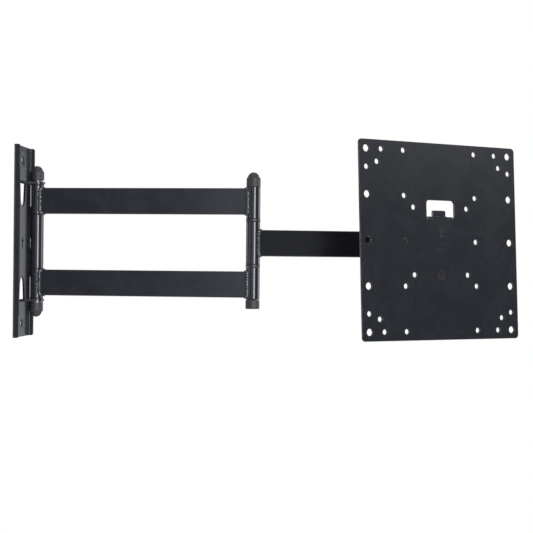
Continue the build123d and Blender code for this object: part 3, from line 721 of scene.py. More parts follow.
def rounded_copy(node: str, radius: float) -> bmesh.types.BMesh:
    """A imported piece's mesh, merged, with its sharp edges rounded over.

    Args:
        node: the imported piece.
        radius: the radius of the edges, in millimetres.

    Returns:
        The mesh, in the row's frame.
    """
    bm = bmesh.new()
    bm.from_mesh(frame["nodes"][node].data)
    bmesh.ops.remove_doubles(bm, verts=bm.verts, dist=MERGE)
    bmesh.ops.dissolve_limit(bm, angle_limit=FLAT_ANGLE, verts=bm.verts, edges=bm.edges)
    sharp = [e for e in bm.edges if len(e.link_faces) == 2 and e.calc_face_angle(0) > SMOOTH_ANGLE]
    bevel = {"offset": radius * MM, "segments": EDGE_STEPS, "profile": 0.5}
    bmesh.ops.bevel(bm, geom=sharp, affect="EDGES", clamp_overlap=True, **bevel)
    return bm


class Shop:
    """Turns meshes into finished pieces that ride on the mount's bodies."""

    def __init__(self, finishes: Finishes) -> None:
        """Keeps the finishes."""
        self.finishes = finishes

    def piece(
        self,
        name: str,
        bm: bmesh.types.BMesh,
        body: str,
        slot: Slot,
        replaces: Sequence[str] = (),
        link: Link | None = None,
        material: bpy.types.Material | None = None,
    ) -> None:
        """Makes one finished piece.

        Args:
            name: the piece's name.
            bm: its mesh, which this call uses up.
            body: the body that it moves with.
            slot: the record's slot that its finish comes from.
            replaces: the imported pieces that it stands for.
            link: the frame that the mesh is drawn in, or None for the row's.
            material: a finish other than the slot's own.
        """
        if link:
            bm.transform(link.matrix)
        mesh = bpy.data.meshes.new(name)
        for face in bm.faces:
            face.smooth = True
            face.material_index = 0
        for edge in bm.edges:
            edge.smooth = not (edge.is_manifold and edge.calc_face_angle(0) > SMOOTH_ANGLE)
        bm.to_mesh(mesh)
        bm.free()
        mesh.materials.clear()
        mesh.materials.append(material or self.finishes[slot])
        made = bpy.data.objects.new(name, mesh)
        bpy.context.scene.collection.objects.link(made)
        self._weigh_normals(made)
        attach(made, body)
        if replaces:
            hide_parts(*replaces)
        LOG.info("%s: %d faces on %s", name, len(made.data.polygons), body)

    @staticmethod
    def _weigh_normals(made: bpy.types.Object) -> None:
        """Keeps flat faces flat beside rounded edges."""
        modifier = made.modifiers.new("weigh", "WEIGHTED_NORMAL")
        modifier.keep_sharp = True
        modifier.weight = 100
        shape = made.evaluated_get(bpy.context.evaluated_depsgraph_get())
        flat = bpy.data.meshes.new_from_object(shape)
        old = made.data
        made.modifiers.clear()
        made.data = flat
        bpy.data.meshes.remove(old)
        flat.name = made.name

    def stand_in(
        self,
        node: str,
        ending: str,
        bm: bmesh.types.BMesh,
        body: str,
        slot: Slot,
        link: Link | None = None,
        material: bpy.types.Material | None = None,
    ) -> None:
        """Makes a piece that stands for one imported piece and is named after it.

        Args:
            node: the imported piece.
            ending: what the new piece's name adds to it.
            bm: the new piece's mesh.
            body: the body that it moves with.
            slot: the record's slot that its finish comes from.
            link: the frame that the mesh is drawn in, or None for the row's.
            material: a finish other than the slot's own.
        """
        self.piece(f"{node}_{ending}", bm, body, slot, (node,), link, material)

    def copies(self, body: str, slot: Slot, edge: float, nodes: Sequence[str]) -> None:
        """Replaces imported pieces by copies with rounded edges."""
        for node in nodes:
            self.stand_in(node, "finished", rounded_copy(node, edge), body, slot)


# ------------------------------------------------------------------ shapes that follow a rule
class Trees:
    """The Geometry Nodes trees: arm tubes, weld beads and screw threads."""

    INNER_CORNER = 0.4
    STAND = 0.22
    BEAD_SPAN = 0.3
    DRIFT_SCALE = 0.42
    RIDGE_TO_PITCH = 0.42
    RIDGE_OUT = 0.62
    CORNER_STEPS = 6
    WELD_GAP = 0.001
    DRIFT_TURNS = 2.2
    PLAIN_SHARE = 0.66
    RIPPLE_SHARE = 0.26
    DRIFT_SHARE = 0.36
    BEAD_SIDES = 14
    RIDGE_SIDES = 4
    HELIX_STEPS = 32

    def __init__(self) -> None:
        """Builds the three trees."""
        self.tube = self._tube()
        self.bead = self._bead()
        self.thread = self._thread()

    @staticmethod
    def _start(name: str, sizes: Sequence[str]) -> tuple:
        """Starts a tree with number inputs, a finish and a mesh to put out."""
        inputs = {size: Socket.NUMBER for size in sizes}
        inputs["Finish"] = Socket.FINISH
        return new_tree("GeometryNodeTree", name, inputs, {"Mesh": Socket.SHAPE})

    @staticmethod
    def _end(graph: Graph, given: object, result: bpy.types.Node, mesh: object) -> bpy.types.NodeTree:
        """Makes a tree's mesh real, gives it its finish and returns the tree."""
        real = graph.add("GeometryNodeRealizeInstances", {0: mesh}).outputs[0]
        dressed = graph.add("GeometryNodeSetMaterial", {"Geometry": real, "Material": given["Finish"]})
        graph.feed(result, {"Mesh": dressed.outputs[0]})
        return graph.tree

    @staticmethod
    def _point(graph: Graph) -> bpy.types.NodeSocket:
        """Each point's place, as three numbers."""
        place = graph.add("GeometryNodeInputPosition").outputs[0]
        return graph.add("ShaderNodeSeparateXYZ", {0: place}).outputs

    @staticmethod
    def _joined(graph: Graph, *shapes: object) -> bpy.types.NodeSocket:
        """Several shapes as one."""
        whole = graph.add("GeometryNodeJoinGeometry")
        for shape in shapes:
            graph.tree.links.new(shape, whole.inputs[0])
        return whole.outputs[0]

    @staticmethod
    def _laid(graph: Graph, given: object, shape: object, at: object, along: object) -> bpy.types.NodeSocket:
        """A shape drawn on the XY plane, stood up across the tube.

        Args:
            graph: the tree's graph.
            given: the tree's inputs.
            shape: the shape.
            at: each point's place.
            along: how far along the tube each point goes.

        Returns:
            The shape's socket.
        """
        place = {"X": along, "Y": at["X"], "Z": graph.math("ADD", at["Y"], given["Level"])}
        point = graph.add("ShaderNodeCombineXYZ", place).outputs[0]
        return graph.add("GeometryNodeSetPosition", {"Geometry": shape, "Position": point}).outputs[0]

    def _rounded_rectangle(self, graph: Graph, width: object, height: object, corner: object) -> object:
        """A rectangle curve with rounded corners."""
        sides = graph.add("GeometryNodeCurvePrimitiveQuadrilateral", {"Width": width, "Height": height})
        values = {"Curve": sides.outputs[0], "Radius": corner, "Count": self.CORNER_STEPS}
        return graph.add("GeometryNodeFilletCurve", values, mode="POLY").outputs[0]

    @staticmethod
    def _cope(graph: Graph, y: object, radius: object) -> bpy.types.NodeSocket:
        """How far a round sleeve's surface stands out at a given Y."""
        inside = graph.math("SUBTRACT", graph.math("POWER", radius, 2.0), graph.math("POWER", y, 2.0))
        return graph.math("SQRT", graph.math("MAXIMUM", inside, 0.0))

    def _tube(self) -> bpy.types.NodeTree:
        """A hollow rectangular tube along X whose ends are coped to round sleeves."""
        names = ("Length", "Height", "Thickness", "Wall", "Corner", "Cope", "Level")
        graph, given, result = self._start("arm_tube", names)
        outer = self._rounded_rectangle(graph, given["Thickness"], given["Height"], given["Corner"])
        twice = graph.math("MULTIPLY", given["Wall"], 2.0)
        inner_w = graph.math("SUBTRACT", given["Thickness"], twice)
        inner_h = graph.math("SUBTRACT", given["Height"], twice)
        inner_corner = graph.math("MULTIPLY", given["Corner"], self.INNER_CORNER)
        inner = self._rounded_rectangle(graph, inner_w, inner_h, inner_corner)
        both = self._joined(graph, outer, inner)
        end = graph.add("GeometryNodeFillCurve", {"Curve": both}, mode="TRIANGLES").outputs[0]
        upward = graph.add("ShaderNodeCombineXYZ", {"Z": 1.0}).outputs[0]
        push = {"Mesh": end, "Offset": upward, "Offset Scale": given["Length"], "Individual": False}
        pushed = graph.add("GeometryNodeExtrudeMesh", push, mode="FACES").outputs[0]
        closed = self._joined(graph, pushed, graph.add("GeometryNodeFlipFaces", {"Mesh": end}).outputs[0])
        merge = {"Geometry": closed, "Distance": self.WELD_GAP}
        whole = graph.add("GeometryNodeMergeByDistance", merge).outputs[0]
        at = self._point(graph)
        far = graph.math("GREATER_THAN", at["Z"], graph.math("MULTIPLY", given["Length"], 0.5))
        towards = graph.math("MULTIPLY_ADD", far, -2.0, 1.0)
        bite = graph.math("MULTIPLY", self._cope(graph, at["X"], given["Cope"]), towards)
        laid = self._laid(graph, given, whole, at, graph.math("ADD", at["Z"], bite))
        return self._end(graph, given, result, laid)

    def _bead(self) -> bpy.types.NodeTree:
        """A weld bead round a tube's end, where it meets a round sleeve, laid down in overlapping ripples."""
        names = ("Height", "Thickness", "Corner", "Cope", "Level", "At", "Side", "Bead", "Ripple", "Seed")
        graph, given, result = self._start("weld_bead", names)
        stand = graph.math("MULTIPLY", given["Bead"], self.STAND)
        grow = graph.math("MULTIPLY", stand, 2.0)
        width = graph.math("ADD", given["Thickness"], grow)
        height = graph.math("SUBTRACT", given["Height"], given["Bead"])
        corner = graph.math("ADD", given["Corner"], stand)
        path = self._rounded_rectangle(graph, width, height, corner)
        fine = {"Curve": path, "Length": self.BEAD_SPAN}
        path = graph.add("GeometryNodeResampleCurve", fine, mode="LENGTH").outputs[0]
        at = self._point(graph)
        reach = self._cope(graph, at["X"], graph.math("ADD", given["Cope"], stand))
        along = graph.math("MULTIPLY_ADD", reach, given["Side"], given["At"])
        place = graph.add("GeometryNodeInputPosition").outputs[0]
        key = {"Vector": place, "W": given["Seed"], "Scale": self.DRIFT_SCALE, "Detail": 2.0}
        drift = graph.add("ShaderNodeTexNoise", key, noise_dimensions="4D")
        laid = self._laid(graph, given, path, at, along)
        length = graph.add("GeometryNodeSplineParameter").outputs["Length"]
        turns = graph.math("DIVIDE", length, given["Ripple"])
        uneven = graph.math("MULTIPLY_ADD", drift.outputs["Fac"], self.DRIFT_TURNS, turns)
        wave = graph.math("ABSOLUTE", graph.math("SINE", graph.math("MULTIPLY", uneven, math.pi)))
        lump = graph.math("MULTIPLY_ADD", wave, self.RIPPLE_SHARE, self.PLAIN_SHARE)
        lump = graph.math("MULTIPLY_ADD", drift.outputs["Fac"], self.DRIFT_SHARE, lump)
        radius = graph.math("MULTIPLY", lump, given["Bead"])
        sized = graph.add("GeometryNodeSetCurveRadius", {"Curve": laid, "Radius": radius}).outputs[0]
        circle = {"Resolution": self.BEAD_SIDES, "Radius": 1.0}
        section = graph.add("GeometryNodeCurvePrimitiveCircle", circle, mode="RADIUS").outputs[0]
        skin = {"Curve": sized, "Profile Curve": section, "Scale": radius}
        mesh = graph.add("GeometryNodeCurveToMesh", skin).outputs[0]
        return self._end(graph, given, result, mesh)

    def _thread(self) -> bpy.types.NodeTree:
        """A right-handed screw thread: a ridge that climbs round a shank on Z."""
        graph, given, result = self._start("screw_thread", ("Radius", "Pitch", "Length"))
        turns = graph.math("DIVIDE", given["Length"], given["Pitch"])
        depth = graph.math("MULTIPLY", given["Pitch"], self.RIDGE_TO_PITCH)
        root = graph.math("SUBTRACT", given["Radius"], graph.math("MULTIPLY", depth, self.RIDGE_OUT))
        climb = {
            "Resolution": self.HELIX_STEPS,
            "Rotations": turns,
            "Start Radius": root,
            "End Radius": root,
            "Height": given["Length"],
            "Reverse": True,
        }
        helix = graph.add("GeometryNodeCurveSpiral", climb).outputs[0]
        helix = graph.add("GeometryNodeSetCurveNormal", {"Curve": helix}, mode="Z_UP").outputs[0]
        diamond = {"Resolution": self.RIDGE_SIDES, "Radius": depth}
        ridge = graph.add("GeometryNodeCurvePrimitiveCircle", diamond, mode="RADIUS").outputs[0]
        skin = {"Curve": helix, "Profile Curve": ridge, "Fill Caps": True}
        mesh = graph.add("GeometryNodeCurveToMesh", skin).outputs[0]
        return self._end(graph, given, result, mesh)


# ------------------------------------------------------------------ small hardware
BOLT_R = 4.0
PITCH = 1.25
WASHER_BORE = BOLT_R + 0.3
SLEEVE_R = 8.0
SLEEVE_CUT = 0.6
SLEEVE_EDGE = 0.3
BUSHED_BORE = 6.5
BUSH_BORE = BOLT_R + 0.06
BUSH_BODY_R = 6.48
BUSH_RIM_R = 8.25
BUSH_BARREL = 12.0
BUSH_EDGE = 0.18
RING_EDGE = 0.2


def sleeve(low: float, high: float, bore: float) -> bmesh.types.BMesh:
    """A turned sleeve with broken outer edges, square to its ends.

    Args:
        low: its lower end.
        high: its upper end.
        bore: its inside radius.

    Returns:
        The mesh.
    """
    face = SLEEVE_R - SLEEVE_CUT
    side = [(SLEEVE_R, low + SLEEVE_CUT), (SLEEVE_R, high - SLEEVE_CUT)]
    corners = [(bore, low), (face, low), *side, (face, high), (bore, high)]
    return turned(soften(corners, SLEEVE_EDGE, loop=True))


def ring(outer: float, bore: float, low: float, high: float) -> bmesh.types.BMesh:
    """A flat ring with rounded edges: a washer or a bush's barrel."""
    corners = [(bore, low), (outer, low), (outer, high), (bore, high)]
    return turned(soften(corners, RING_EDGE, loop=True))


def flanged_bush(face: float, flange: float, down: bool = False) -> bmesh.types.BMesh:
    """A moulded bush.

    Args:
        face: the height of the sleeve's end that its flange lies on.
        flange: the flange's thickness.
        down: whether the flange lies under the sleeve instead of over it.

    Returns:
        The mesh.
    """
    way = -1 if down else 1
    foot, top = face - way * BUSH_BARREL, face + way * flange
    body = [(BUSH_BORE, foot), (BUSH_BODY_R, foot), (BUSH_BODY_R, face)]
    corners = [*body, (BUSH_RIM_R, face), (BUSH_RIM_R, top), (BUSH_BORE, top)]
    return turned(soften(corners, BUSH_EDGE, loop=True))


def shifted(bm: bmesh.types.BMesh, along: float) -> bmesh.types.BMesh:
    """The mesh moved along X."""
    bm.transform(Matrix.Translation((along, 0, 0)))
    return bm


def flipped(bm: bmesh.types.BMesh) -> bmesh.types.BMesh:
    """The mesh turned upside down about X, which keeps its faces outwards."""
    bm.transform(Matrix.Rotation(math.pi, 4, "X"))
    return bm


class Lay(Enum):
    """The axis that a bolt lies on."""

    UPRIGHT = Matrix.Identity(4)
    FORWARD = Matrix.Rotation(math.pi / 2, 4, "Y")
    SIDEWAYS = Matrix.Rotation(-math.pi / 2, 4, "X")


@dataclass(frozen=True)
class DomeCap:
    """A moulded cap over a bolt's head: a skirt, a shoulder, a neck and a dome.

    Args:
        skirt_r: the skirt's radius.
        bore: the skirt's inside radius.
        skirt: the skirt's height.
        neck: the height at which the dome starts.
        neck_r: the dome's radius.
        height: the cap's height.
        wall: its thickness.
        edge: the reach of its rounded corners.
    """

    skirt_r: float = 8.1
    bore: float = 7.6
    skirt: float = 9.6
    neck: float = 11.0
    neck_r: float = 6.6
    height: float = 16.6
    wall: float = 1.3
    edge: float = 0.45

    def build(self, seat: float) -> bmesh.types.BMesh:
        """Turns the cap with its rim on a seat, above the middle.

        Args:
            seat: the height of the seat.

        Returns:
            The mesh, hollow and closed.
        """
        top, inside = self.height, self.neck_r - self.wall
        roof = self.neck - self.wall / 2
        inner = dome(inside, roof, top - self.wall - roof)[::-1]
        wall = [(self.bore, self.skirt - self.wall), (self.bore, 0.0), (self.skirt_r, 0.0)]
        skirt = [(self.skirt_r, self.skirt), (self.neck_r, self.neck)]
        outer = dome(self.neck_r, self.neck, top - self.neck)
        middle = soften([inner[-1], *wall, *skirt, outer[1]], self.edge)
        profile = inner[:-1] + middle + outer[2:]
        return turned([(r, z + seat) for r, z in profile], loop=False)


@dataclass(frozen=True)
class FlatCap:
    """A moulded cap with a flat end and a shallow dimple, pushed over a nut.

    Args:
        radius: its radius.
        bore: its inside radius.
        height: its height.
        wall: its thickness.
        edge: the reach of its rounded corners.
        dimple: the dimple's radius, at its rim and at its floor.
        dip: the dimple's depth.
    """

    radius: float = 8.0
    bore: float = 7.6
    height: float = 9.4
    wall: float = 1.3
    edge: float = 0.4
    dimple: tuple[float, float] = (4.6, 4.2)
    dip: float = 0.3

    def build(self, seat: float) -> bmesh.types.BMesh:
        """Turns the cap with its rim at seat."""
        roof, top, (rim, floor) = self.height - self.wall, self.height, self.dimple
        inside = [(0.0, roof), (self.bore, roof), (self.bore, 0.0)]
        outside = [(self.radius, 0.0), (self.radius, top)]
        dimple = [(rim, top), (floor, top - self.dip), (0.0, top - self.dip)]
        profile = soften([*inside, *outside, *dimple], self.edge)
        return turned([(r, z + seat) for r, z in profile], loop=False)


@dataclass(frozen=True)
class Thread:
    """Where a bolt is threaded.

    Args:
        low: where the thread starts along the bolt.
        high: where it ends.
        radius: the bolt's radius.
        lay: the axis that the bolt lies on.
        at: the bolt's place along X.
    """

    low: float
    high: float
    radius: float
    lay: Lay
    at: float


class Bench:
    """What the sub-assemblies share: the shop, the trees and the links' frames."""

    BOLT_EDGE = 0.2

    def __init__(self, shop: Shop, trees: Trees, links: Links) -> None:
        """Keeps the three."""
        self.shop = shop
        self.trees = trees
        self.links = links

    def threaded(self, node: str, body: str, link: Link, thread: Thread) -> None:
        """Replaces a packed bolt by a rounded copy with a thread near its end.

        Args:
            node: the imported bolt.
            body: the body that it moves with.
            link: the frame that the thread is drawn in.
            thread: where the bolt is threaded.
        """
        slot = Slot.BLACK_STEEL
        length, finish = thread.high - thread.low, self.shop.finishes[slot]
        values = {"Radius": thread.radius, "Pitch": PITCH, "Length": length, "Finish": finish}
        ridge = grown(self.trees.thread, values)
        ridge.transform(Matrix.Translation((0, 0, thread.low)))
        ridge.transform(thread.lay.value)
        ridge.transform(Matrix.Translation((thread.at, 0, 0)))
        ridge.transform(link.matrix)
        whole = joined([rounded_copy(node, self.BOLT_EDGE), ridge])
        self.shop.stand_in(node, "threaded", whole, body, slot)


# ------------------------------------------------------------------ sub-assemblies
@dataclass(frozen=True)
class WallSide:
    """The wall plate with its punched ears, and the shoulder's bolt, washers and caps.

    Args:
        ear_top: the height of the upper ear's outside.
        spring_h: the split washer's height.
        spring_r: its radius.
        spring_steps: spans round it.
        spring_gap: half the angle between its cut ends, in radians.
        spring_rise: how far one cut end stands above the other.
        flat_h: the flat washer's height.
        flat_r: its radius.
        sheet_edge: the radius that sheared sheet edges are broken to.
        steel_edge: the same for the bolt and the nut.
        spring_edge: the reach of the split washer's rounded corners.
    """

    ear_top: float = 69.5
    spring_h: float = 2.0
    spring_r: float = 6.2
    spring_steps: int = 90
    spring_gap: float = 0.16
    spring_rise: float = 0.25
    flat_h: float = 1.6
    flat_r: float = 8.0
    sheet_edge: float = 0.3
    steel_edge: float = 0.2
    spring_edge: float = 0.25
    cap: DomeCap = DomeCap()

    def build(self, bench: Bench) -> None:
        """Makes the pieces that stay on the wall."""
        shop, link = bench.shop, bench.links.wall
        shop.copies("wall", Slot.COAT, self.sheet_edge, ("wall_plate",))
        top = self.cap.build(self.ear_top + self.spring_h)
        low = flipped(self.cap.build(self.ear_top + self.flat_h))
        flat = flipped(ring(self.flat_r, WASHER_BORE, self.ear_top, self.ear_top + self.flat_h))
        for name, made, slot, node in (
            ("shoulder_dome_top", top, Slot.CAP, "shoulder_cap_top"),
            ("shoulder_dome_bottom", low, Slot.CAP, "shoulder_cap_bottom"),
            ("shoulder_split_washer", self._split_washer(), Slot.BRIGHT_STEEL, "shoulder_spring_washer"),
            ("shoulder_washer", flat, Slot.BRIGHT_STEEL, "shoulder_flat_washer"),
        ):
            shop.piece(name, made, "wall", slot, (node,), link)
        shop.copies("wall", Slot.BRIGHT_STEEL, self.steel_edge, ("shoulder_nut", "shoulder_bolt"))

    def _split_washer(self) -> bmesh.types.BMesh:
        """A square-section ring whose two cut ends stand a little apart."""
        half = (self.spring_h - self.spring_rise) / 2
        middle = self.ear_top + self.spring_h / 2
        corners = [(WASHER_BORE, -half), (self.spring_r, -half), (self.spring_r, half), (WASHER_BORE, half)]
        section = soften(corners, self.spring_edge, loop=True)
        bm = bmesh.new()
        loops = []
        for step in range(self.spring_steps + 1):
            share = step / self.spring_steps
            turn = math.pi + self.spring_gap + share * (2 * math.pi - 2 * self.spring_gap)
            lift = middle + (share - 0.5) * self.spring_rise
            x, y = math.cos(turn), math.sin(turn)
            loops.append([bm.verts.new((r * x, r * y, z + lift)) for r, z in section])
        for first, second in zip(loops, loops[1:]):
            for index in range(len(first)):
                after = (index + 1) % len(first)
                bm.faces.new((first[index], first[after], second[after], second[index]))
        bm.faces.new(loops[0])
        bm.faces.new(loops[-1])
        bmesh.ops.recalc_face_normals(bm, faces=bm.faces)
        return bm


@dataclass(frozen=True)
class Tube:
    """A rectangular arm tube with its weld beads.

    Args:
        height: its height.
        thickness: its width.
        wall: the thickness of its wall.
        corner: the radius of its outside corners.
        clearance: how far its coped ends stand off the sleeves.
        bead: the middle radius of a weld bead.
        small_bead: the same where the sleeve is short.
        ripple: the length of one ripple of the bead.
    """

    height: float = 30.0
    thickness: float = 12.0
    wall: float = 1.5
    corner: float = 1.4
    clearance: float = 0.02
    bead: float = 2.2
    small_bead: float = 1.3
    ripple: float = 3.4

    def build(self, trees: Trees, length: float, level: float, finish: object) -> bmesh.types.BMesh:
        """Makes the tube.

        Args:
            trees: the Geometry Nodes trees.
            length: the distance between the sleeves' axes.
            level: the height of its middle.
            finish: its finish.

        Returns:
            The mesh, hollow and closed.
        """
        values = {"Length": length, "Wall": self.wall, "Cope": SLEEVE_R + self.clearance, "Finish": finish}
        return grown(trees.tube, {**self._section(level), **values})

    def _section(self, level: float) -> dict[str, float]:
        """The tube's section, as both trees take it."""
        return {"Height": self.height, "Thickness": self.thickness, "Corner": self.corner, "Level": level}

    def weld(
        self, trees: Trees, bead: float, at: float, side: float, level: float, seed: float, finish: object
    ) -> bmesh.types.BMesh:
        """Lays the bead round one end.

        Args:
            trees: the Geometry Nodes trees.
            bead: the bead's middle radius.
            at: the place of the sleeve's axis along the arm.
            side: 1 where the tube runs out along X from the sleeve, and -1 where it runs in.
            level: the height of the tube's middle.
            seed: picks the bead's unevenness.
            finish: the bead's finish.

        Returns:
            The mesh.
        """
        values = {"Cope": SLEEVE_R, "At": at, "Side": side, "Bead": bead, "Ripple": self.ripple, "Seed": seed}
        return grown(trees.bead, {**self._section(level), **values, "Finish": finish})


@dataclass(frozen=True)
class UpperArm:
    """The two-tube arm, with the sleeves at its shoulder and its elbow.

    Args:
        length: shoulder axis to elbow axis.
        level: the height of the tubes' middles above and below the arm's.
        shoulder: the lower and upper end of the upper shoulder sleeve.
        spacer: half the loose spacer's height.
        spacer_bore: its inside radius.
        elbow: the lower and upper end of the upper elbow sleeve.
        elbow_bore: its inside radius.
        washer_r: the elbow washer's radius.
        washer_h: its height.
        thrust: the thickness of the flanges under the ears.
        seed_step: how far the unevenness of two beads on a tube is apart.
    """

    BODY: ClassVar[str] = "upper_arm"
    length: float = 255.0
    level: float = 47.5
    shoulder: tuple[float, float] = (32.0, 66.0)
    spacer: float = 31.5
    spacer_bore: float = BOLT_R + 0.4
    elbow: tuple[float, float] = (27.5, 64.2)
    elbow_bore: float = BOLT_R + 0.02
    washer_r: float = 7.5
    washer_h: float = 1.6
    thrust: float = 0.9
    seed_step: float = 3.7
    steel_edge: float = 0.2
    tube: Tube = Tube()
    cap: DomeCap = DomeCap()
    flat_cap: FlatCap = FlatCap()

    def build(self, bench: Bench) -> None:
        """Makes the arm's pieces."""
        shop, trees, link = bench.shop, bench.trees, bench.links.upper_arm
        coat, weld, size = shop.finishes[Slot.COAT], shop.finishes.weld, self.tube.bead
        for name, level in (("top", self.level), ("bottom", -self.level)):
            tube = self.tube.build(trees, self.length, level, coat)
            shop.stand_in(f"upper_tube_{name}", "drawn", tube, self.BODY, Slot.COAT, link)
            for end, at, side in (("shoulder", 0.0, 1.0), ("elbow", self.length, -1.0)):
                bead = self.tube.weld(trees, size, at, side, level, level + self.seed_step * side, weld)
                shop.piece(f"{end}_weld_{name}", bead, self.BODY, Slot.COAT, (), link, weld)
        self._shoulder(shop, link)
        self._elbow(shop, link)

    def _shoulder(self, shop: Shop, link: Link) -> None:
        """Makes the shoulder's sleeves, bushes and spacer."""
        low, high = self.shoulder
        inner_bush = (BUSH_BODY_R, BUSH_BORE, low, low + BUSH_BARREL)
        bushes = [
            flanged_bush(high, self.thrust),
            ring(*inner_bush),
            flipped(ring(*inner_bush)),
            flanged_bush(-high, self.thrust, down=True),
        ]
        spacer = sleeve(-self.spacer, self.spacer, self.spacer_bore)
        self._turned(shop, link, "shoulder_sleeve_top", sleeve(low, high, BUSHED_BORE))
        self._turned(shop, link, "shoulder_sleeve_bottom", flipped(sleeve(low, high, BUSHED_BORE)))
        shop.stand_in("shoulder_bushes", "moulded", joined(bushes), self.BODY, Slot.NYLON, link)
        self._turned(shop, link, "shoulder_spacer", spacer)

    def _turned(self, shop: Shop, link: Link, node: str, made: bmesh.types.BMesh) -> None:
        """Adds a turned sleeve in its glossier coat."""
        shop.stand_in(node, "turned", made, self.BODY, Slot.COAT, link, shop.finishes.sleeve)

    def _elbow(self, shop: Shop, link: Link) -> None:
        """Makes the elbow's two arm sleeves, its washer and its caps."""
        low, high = self.elbow
        foot = high + self.washer_h
        top = sleeve(low, high, self.elbow_bore)
        bottom = flipped(sleeve(low, high, self.elbow_bore))
        self._turned(shop, link, "elbow_sleeve_top", shifted(top, self.length))
        self._turned(shop, link, "elbow_sleeve_bottom", shifted(bottom, self.length))
        washer = shifted(ring(self.washer_r, WASHER_BORE, high, foot), self.length)
        shop.stand_in("elbow_washer", "turned", washer, self.BODY, Slot.BRIGHT_STEEL, link)
        dome_top = shifted(self.cap.build(high), self.length)
        shop.piece("elbow_dome_top", dome_top, self.BODY, Slot.CAP, ("elbow_cap_top",), link)
        flat = shifted(flipped(self.flat_cap.build(foot)), self.length)
        shop.piece("elbow_flat_cap", flat, self.BODY, Slot.CAP, ("elbow_cap_bottom",), link)
        shop.copies(self.BODY, Slot.BRIGHT_STEEL, self.steel_edge, ("elbow_bolt",))
        shop.copies(self.BODY, Slot.BLACK_STEEL, self.steel_edge, ("elbow_nut",))


@dataclass(frozen=True)
class Forearm:
    """The one-tube arm between the elbow and the swivel.

    Args:
        length: elbow axis to swivel axis.
        elbow: half the elbow sleeve's height.
        swivel: half the swivel sleeve's height.
        elbow_flange: the thickness of the elbow bushes' flanges.
        swivel_flange: the thickness of the swivel bushes' flanges.
        seeds: picks the unevenness of the beads at the elbow and at the swivel.
    """

    BODY: ClassVar[str] = "forearm"
    length: float = 175.0
    elbow: float = 24.5
    swivel: float = 17.0
    elbow_flange: float = 2.9
    swivel_flange: float = 2.0
    seeds: tuple[float, float] = (8.3, 5.1)
    tube: Tube = Tube()

    def build(self, bench: Bench) -> None:
        """Makes the forearm's pieces."""
        shop, trees, link = bench.shop, bench.trees, bench.links.forearm
        coat, weld, turned_coat = shop.finishes[Slot.COAT], shop.finishes.weld, shop.finishes.sleeve
        tube = self.tube.build(trees, self.length, 0.0, coat)
        shop.stand_in("forearm_tube", "drawn", tube, self.BODY, Slot.COAT, link)
        for name, size, at, side, seed in (
            ("elbow", self.tube.bead, 0.0, 1.0, self.seeds[0]),
            ("swivel", self.tube.small_bead, self.length, -1.0, self.seeds[1]),
        ):
            bead = self.tube.weld(trees, size, at, side, 0.0, seed, weld)
            shop.piece(f"{name}_weld_middle", bead, self.BODY, Slot.COAT, (), link, weld)
        elbow = sleeve(-self.elbow, self.elbow, BUSHED_BORE)
        swivel = shifted(sleeve(-self.swivel, self.swivel, BUSHED_BORE), self.length)
        for node, made in (("elbow_sleeve_middle", elbow), ("swivel_sleeve", swivel)):
            shop.stand_in(node, "turned", made, self.BODY, Slot.COAT, link, turned_coat)
        for node, face, flange, at in (
            ("elbow_bushes", self.elbow, self.elbow_flange, 0.0),
            ("swivel_bushes", self.swivel, self.swivel_flange, self.length),
        ):
            pair = joined([flanged_bush(face, flange), flanged_bush(-face, flange, down=True)])
            shop.stand_in(node, "moulded", shifted(pair, at), self.BODY, Slot.NYLON, link)


@dataclass(frozen=True)
class Head:
    """The swivel bracket, the levelling joint and the tilt yoke.

    Args:
        sheet_edge: the radius that sheared sheet edges are broken to.
        steel_edge: the same for bolts, nuts and washers.
        disc_edge: the same for the nylon discs.
        tilt_at: the tilt bolt's distance from the swivel axis.
        tilt_end: how far the tilt bolt's end stands out sideways.
        swivel_end: how far the swivel bolt's end hangs down.
        point: the plain point before each thread.
        thread_end: how far each thread reaches from the bolt's end.
    """

    sheet_edge: float = 0.25
    steel_edge: float = 0.15
    disc_edge: float = 0.12
    tilt_at: float = 42.0
    tilt_end: float = -31.6
    swivel_end: float = -30.7
    point: float = 0.8
    thread_end: float = 6.5

    def build(self, bench: Bench) -> None:
        """Makes the head's pieces."""
        swivel_steel = ("swivel_nut", "swivel_washers")
        level_steel = ("level_washer", "level_nut", "level_bolt", "level_guide_pins")
        tilt_steel = ("tilt_spacer", "tilt_nut", "tilt_washers")
        for body, slot, edge, nodes in (
            ("swivel", Slot.COAT, self.sheet_edge, ("swivel_bracket",)),
            ("level", Slot.COAT, self.sheet_edge, ("tilt_yoke",)),
            ("swivel", Slot.BLACK_STEEL, self.steel_edge, swivel_steel),
            ("level", Slot.BLACK_STEEL, self.steel_edge, (*level_steel, *tilt_steel)),
            ("level", Slot.NYLON, self.disc_edge, ("level_disc", "tilt_friction_washers")),
        ):
            bench.shop.copies(body, slot, edge, nodes)
        link = bench.links.head
        bench.threaded("tilt_bolt", "level", link, self._thread(self.tilt_end, Lay.SIDEWAYS, self.tilt_at))
        bench.threaded("swivel_bolt", "swivel", link, self._thread(self.swivel_end, Lay.UPRIGHT, 0.0))

    def _thread(self, end: float, lay: Lay, at: float) -> Thread:
        """The thread at one bolt's end."""
        return Thread(end + self.point, end + self.thread_end, BOLT_R, lay, at)


